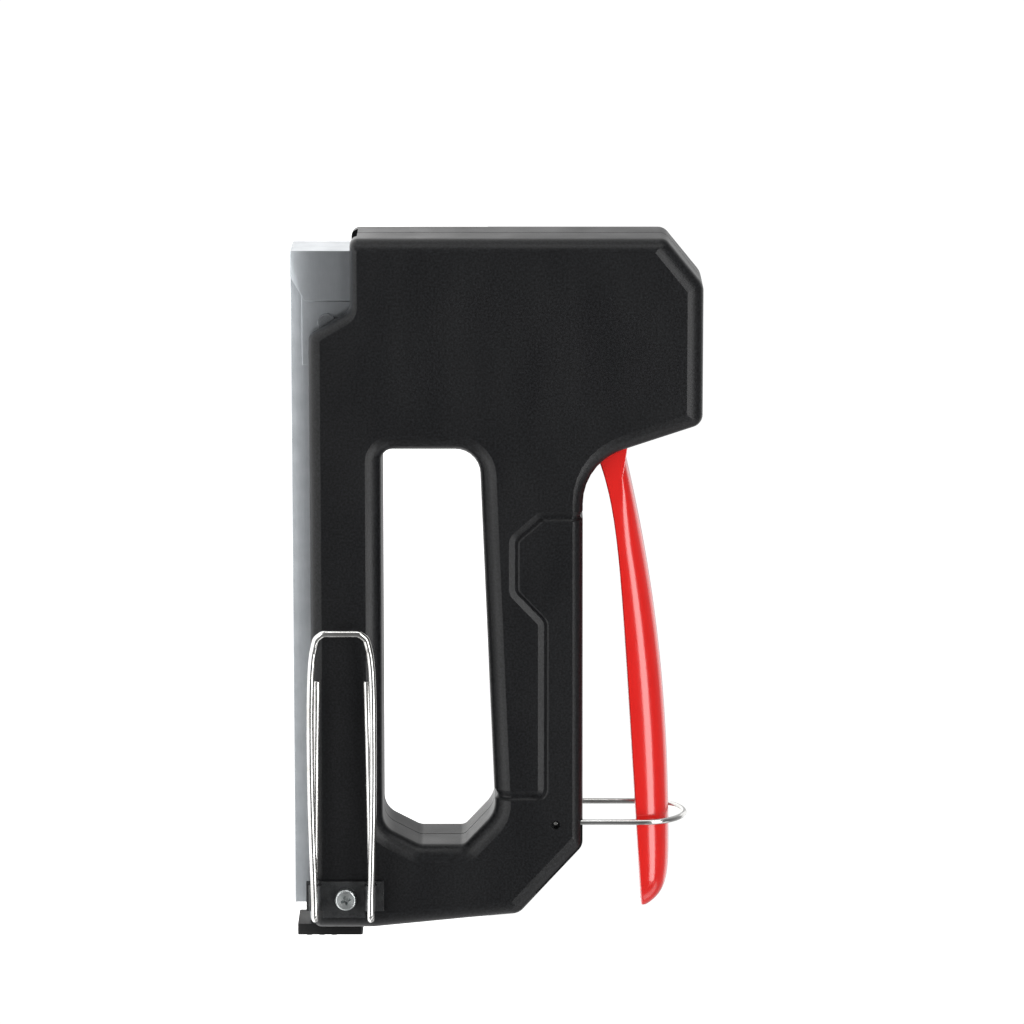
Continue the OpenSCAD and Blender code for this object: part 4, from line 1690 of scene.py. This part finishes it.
@dataclass
class Studio:
    """Camera, pale floor and soft lights.

    Args:
        pitch: how far the camera stands towards the nose, in degrees.
        distance: from the camera to its target.
        lens: focal length on a 36 mm sensor, in millimetres.
        target: what the camera looks at.
    """

    pitch: float = 11.5
    distance: float = 1500.0
    lens: float = 188.0
    target: tuple[float, float, float] = (73.2, 0.0, 61.3)

    def camera(self) -> None:
        """Sets the camera on its side, with the nose at the top of the frame."""
        a = math.radians(self.pitch)
        back = Vector((-math.sin(a), -math.cos(a), 0))
        up = Vector((-math.cos(a), math.sin(a), 0))
        right = up.cross(back)
        data = bpy.data.cameras.new("camera")
        data.lens, data.sensor_width = self.lens, 36
        data.clip_start, data.clip_end = 0.05, 50
        eye = bpy.data.objects.new("camera", data)
        turn = Matrix((right, up, back)).transposed()
        place = (Vector(self.target) + back * self.distance) * MM
        eye.matrix_world = Matrix.Translation(place) @ turn.to_4x4()
        bpy.context.scene.collection.objects.link(eye)
        bpy.context.scene.camera = eye

    def floor(self) -> None:
        """Lays a wide pale floor under the object and behind it.

        It ends just in front of the object, so that the faces turned to the camera don't
        reflect it.
        """
        wide, near, low = 12.0, -0.03, -0.0002
        data = bpy.data.meshes.new("floor")
        data.from_pydata([(-wide, near, low), (wide, near, low), (wide, wide, low),
                          (-wide, wide, low)], [], [(0, 1, 2, 3)])
        floor = bpy.data.objects.new("floor", data)
        bpy.context.scene.collection.objects.link(floor)
        made = bpy.data.materials.new("floor_paper")
        tree = empty_tree(made)
        shader = add_node(tree, "ShaderNodeBsdfPrincipled",
                          {"Base Color": linear("#f4f4f3"), "Roughness": 0.9,
                           "Specular IOR Level": 0.1, "Emission Color": (1, 1, 1, 1),
                           "Emission Strength": 1.0})
        add_node(tree, "ShaderNodeOutputMaterial", {"Surface": shader.outputs[0]})
        data.materials.append(made)

    def softbox(self, name: str, at: tuple[float, float, float], size: tuple[float, float],
                power: float) -> None:
        """Adds a soft rectangular light that faces the object.

        Args:
            name: name of the light.
            at: its place, in metres from the object's middle.
            size: its width and height, in metres.
            power: its power, in watts.
        """
        data = bpy.data.lights.new(name, "AREA")
        data.shape, (data.size, data.size_y), data.energy = "RECTANGLE", size, power
        light = bpy.data.objects.new(name, data)
        middle = Vector((0.09, 0, 0.06))
        light.location = middle + Vector(at)
        light.rotation_euler = Vector(at).to_track_quat("Z", "Y").to_euler()
        bpy.context.scene.collection.objects.link(light)

    def surroundings(self) -> None:
        """Makes the white surroundings, bright behind and below, dim in front and above."""
        world = bpy.data.worlds.new("studio")
        bpy.context.scene.world = world
        tree = empty_tree(world)
        towards = add_node(tree, "ShaderNodeTexCoord").outputs["Generated"]
        bright_side = add_node(tree, "ShaderNodeVectorMath", {0: towards, 1: (0, 0.8, -0.6)},
                               operation="DOT_PRODUCT").outputs["Value"]
        depth = add_node(tree, "ShaderNodeMapRange",
                         {0: bright_side, 1: -0.8, 2: 0.6, 3: 0.16, 4: 0.75}).outputs[0]
        lit = add_node(tree, "ShaderNodeBackground", {0: (1, 1, 1, 1), 1: depth})
        seen = add_node(tree, "ShaderNodeBackground", {0: (1, 1, 1, 1), 1: 1.05})
        ray = add_node(tree, "ShaderNodeLightPath").outputs["Is Camera Ray"]
        both = add_node(tree, "ShaderNodeMixShader",
                        {0: ray, 1: lit.outputs[0], 2: seen.outputs[0]})
        add_node(tree, "ShaderNodeOutputWorld", {"Surface": both.outputs[0]})

    def build(self) -> None:
        """Builds the whole studio."""
        self.camera()
        self.floor()
        self.surroundings()
        self.softbox("softbox_above", (0.1, -0.9, 0.75), (1.6, 0.45), 15)
        self.softbox("softbox_below", (0.1, -0.75, -0.75), (1.6, 0.5), 8)
        self.softbox("softbox_nose", (-1.3, -0.45, 0.4), (0.5, 1.2), 6)
        self.softbox("softbox_rear", (1.3, -0.3, 0.7), (0.5, 1.2), 3)
        self.softbox("softbox_back", (0.0, 1.2, 1.0), (1.6, 1.0), 4)
        bpy.context.scene.view_settings.view_transform = "Standard"


def main() -> None:
    """Builds the staple gun and its studio."""
    logging.basicConfig(level=logging.INFO, format="%(name)s %(message)s")
    body = MouldedBody()
    body.build()
    PressedLever().build()
    LockLoop().build()
    BeltClip().build()
    CoilSpring("drive_spring", "drive_spring_coil", "tool", "plunger_lift", Axis.Z, 2.2,
               4.6).build()
    CoilSpring("pusher_spring", "pusher_spring_coil", "rail", "pusher_travel", Axis.X, 0.7,
               34, steps=14, sides=8).build()
    LeverSpring().build()
    Screws(body).build()
    for carried in CARRIED:
        carried.build()
    Studio().build()


if __name__ == "__main__":
    main()
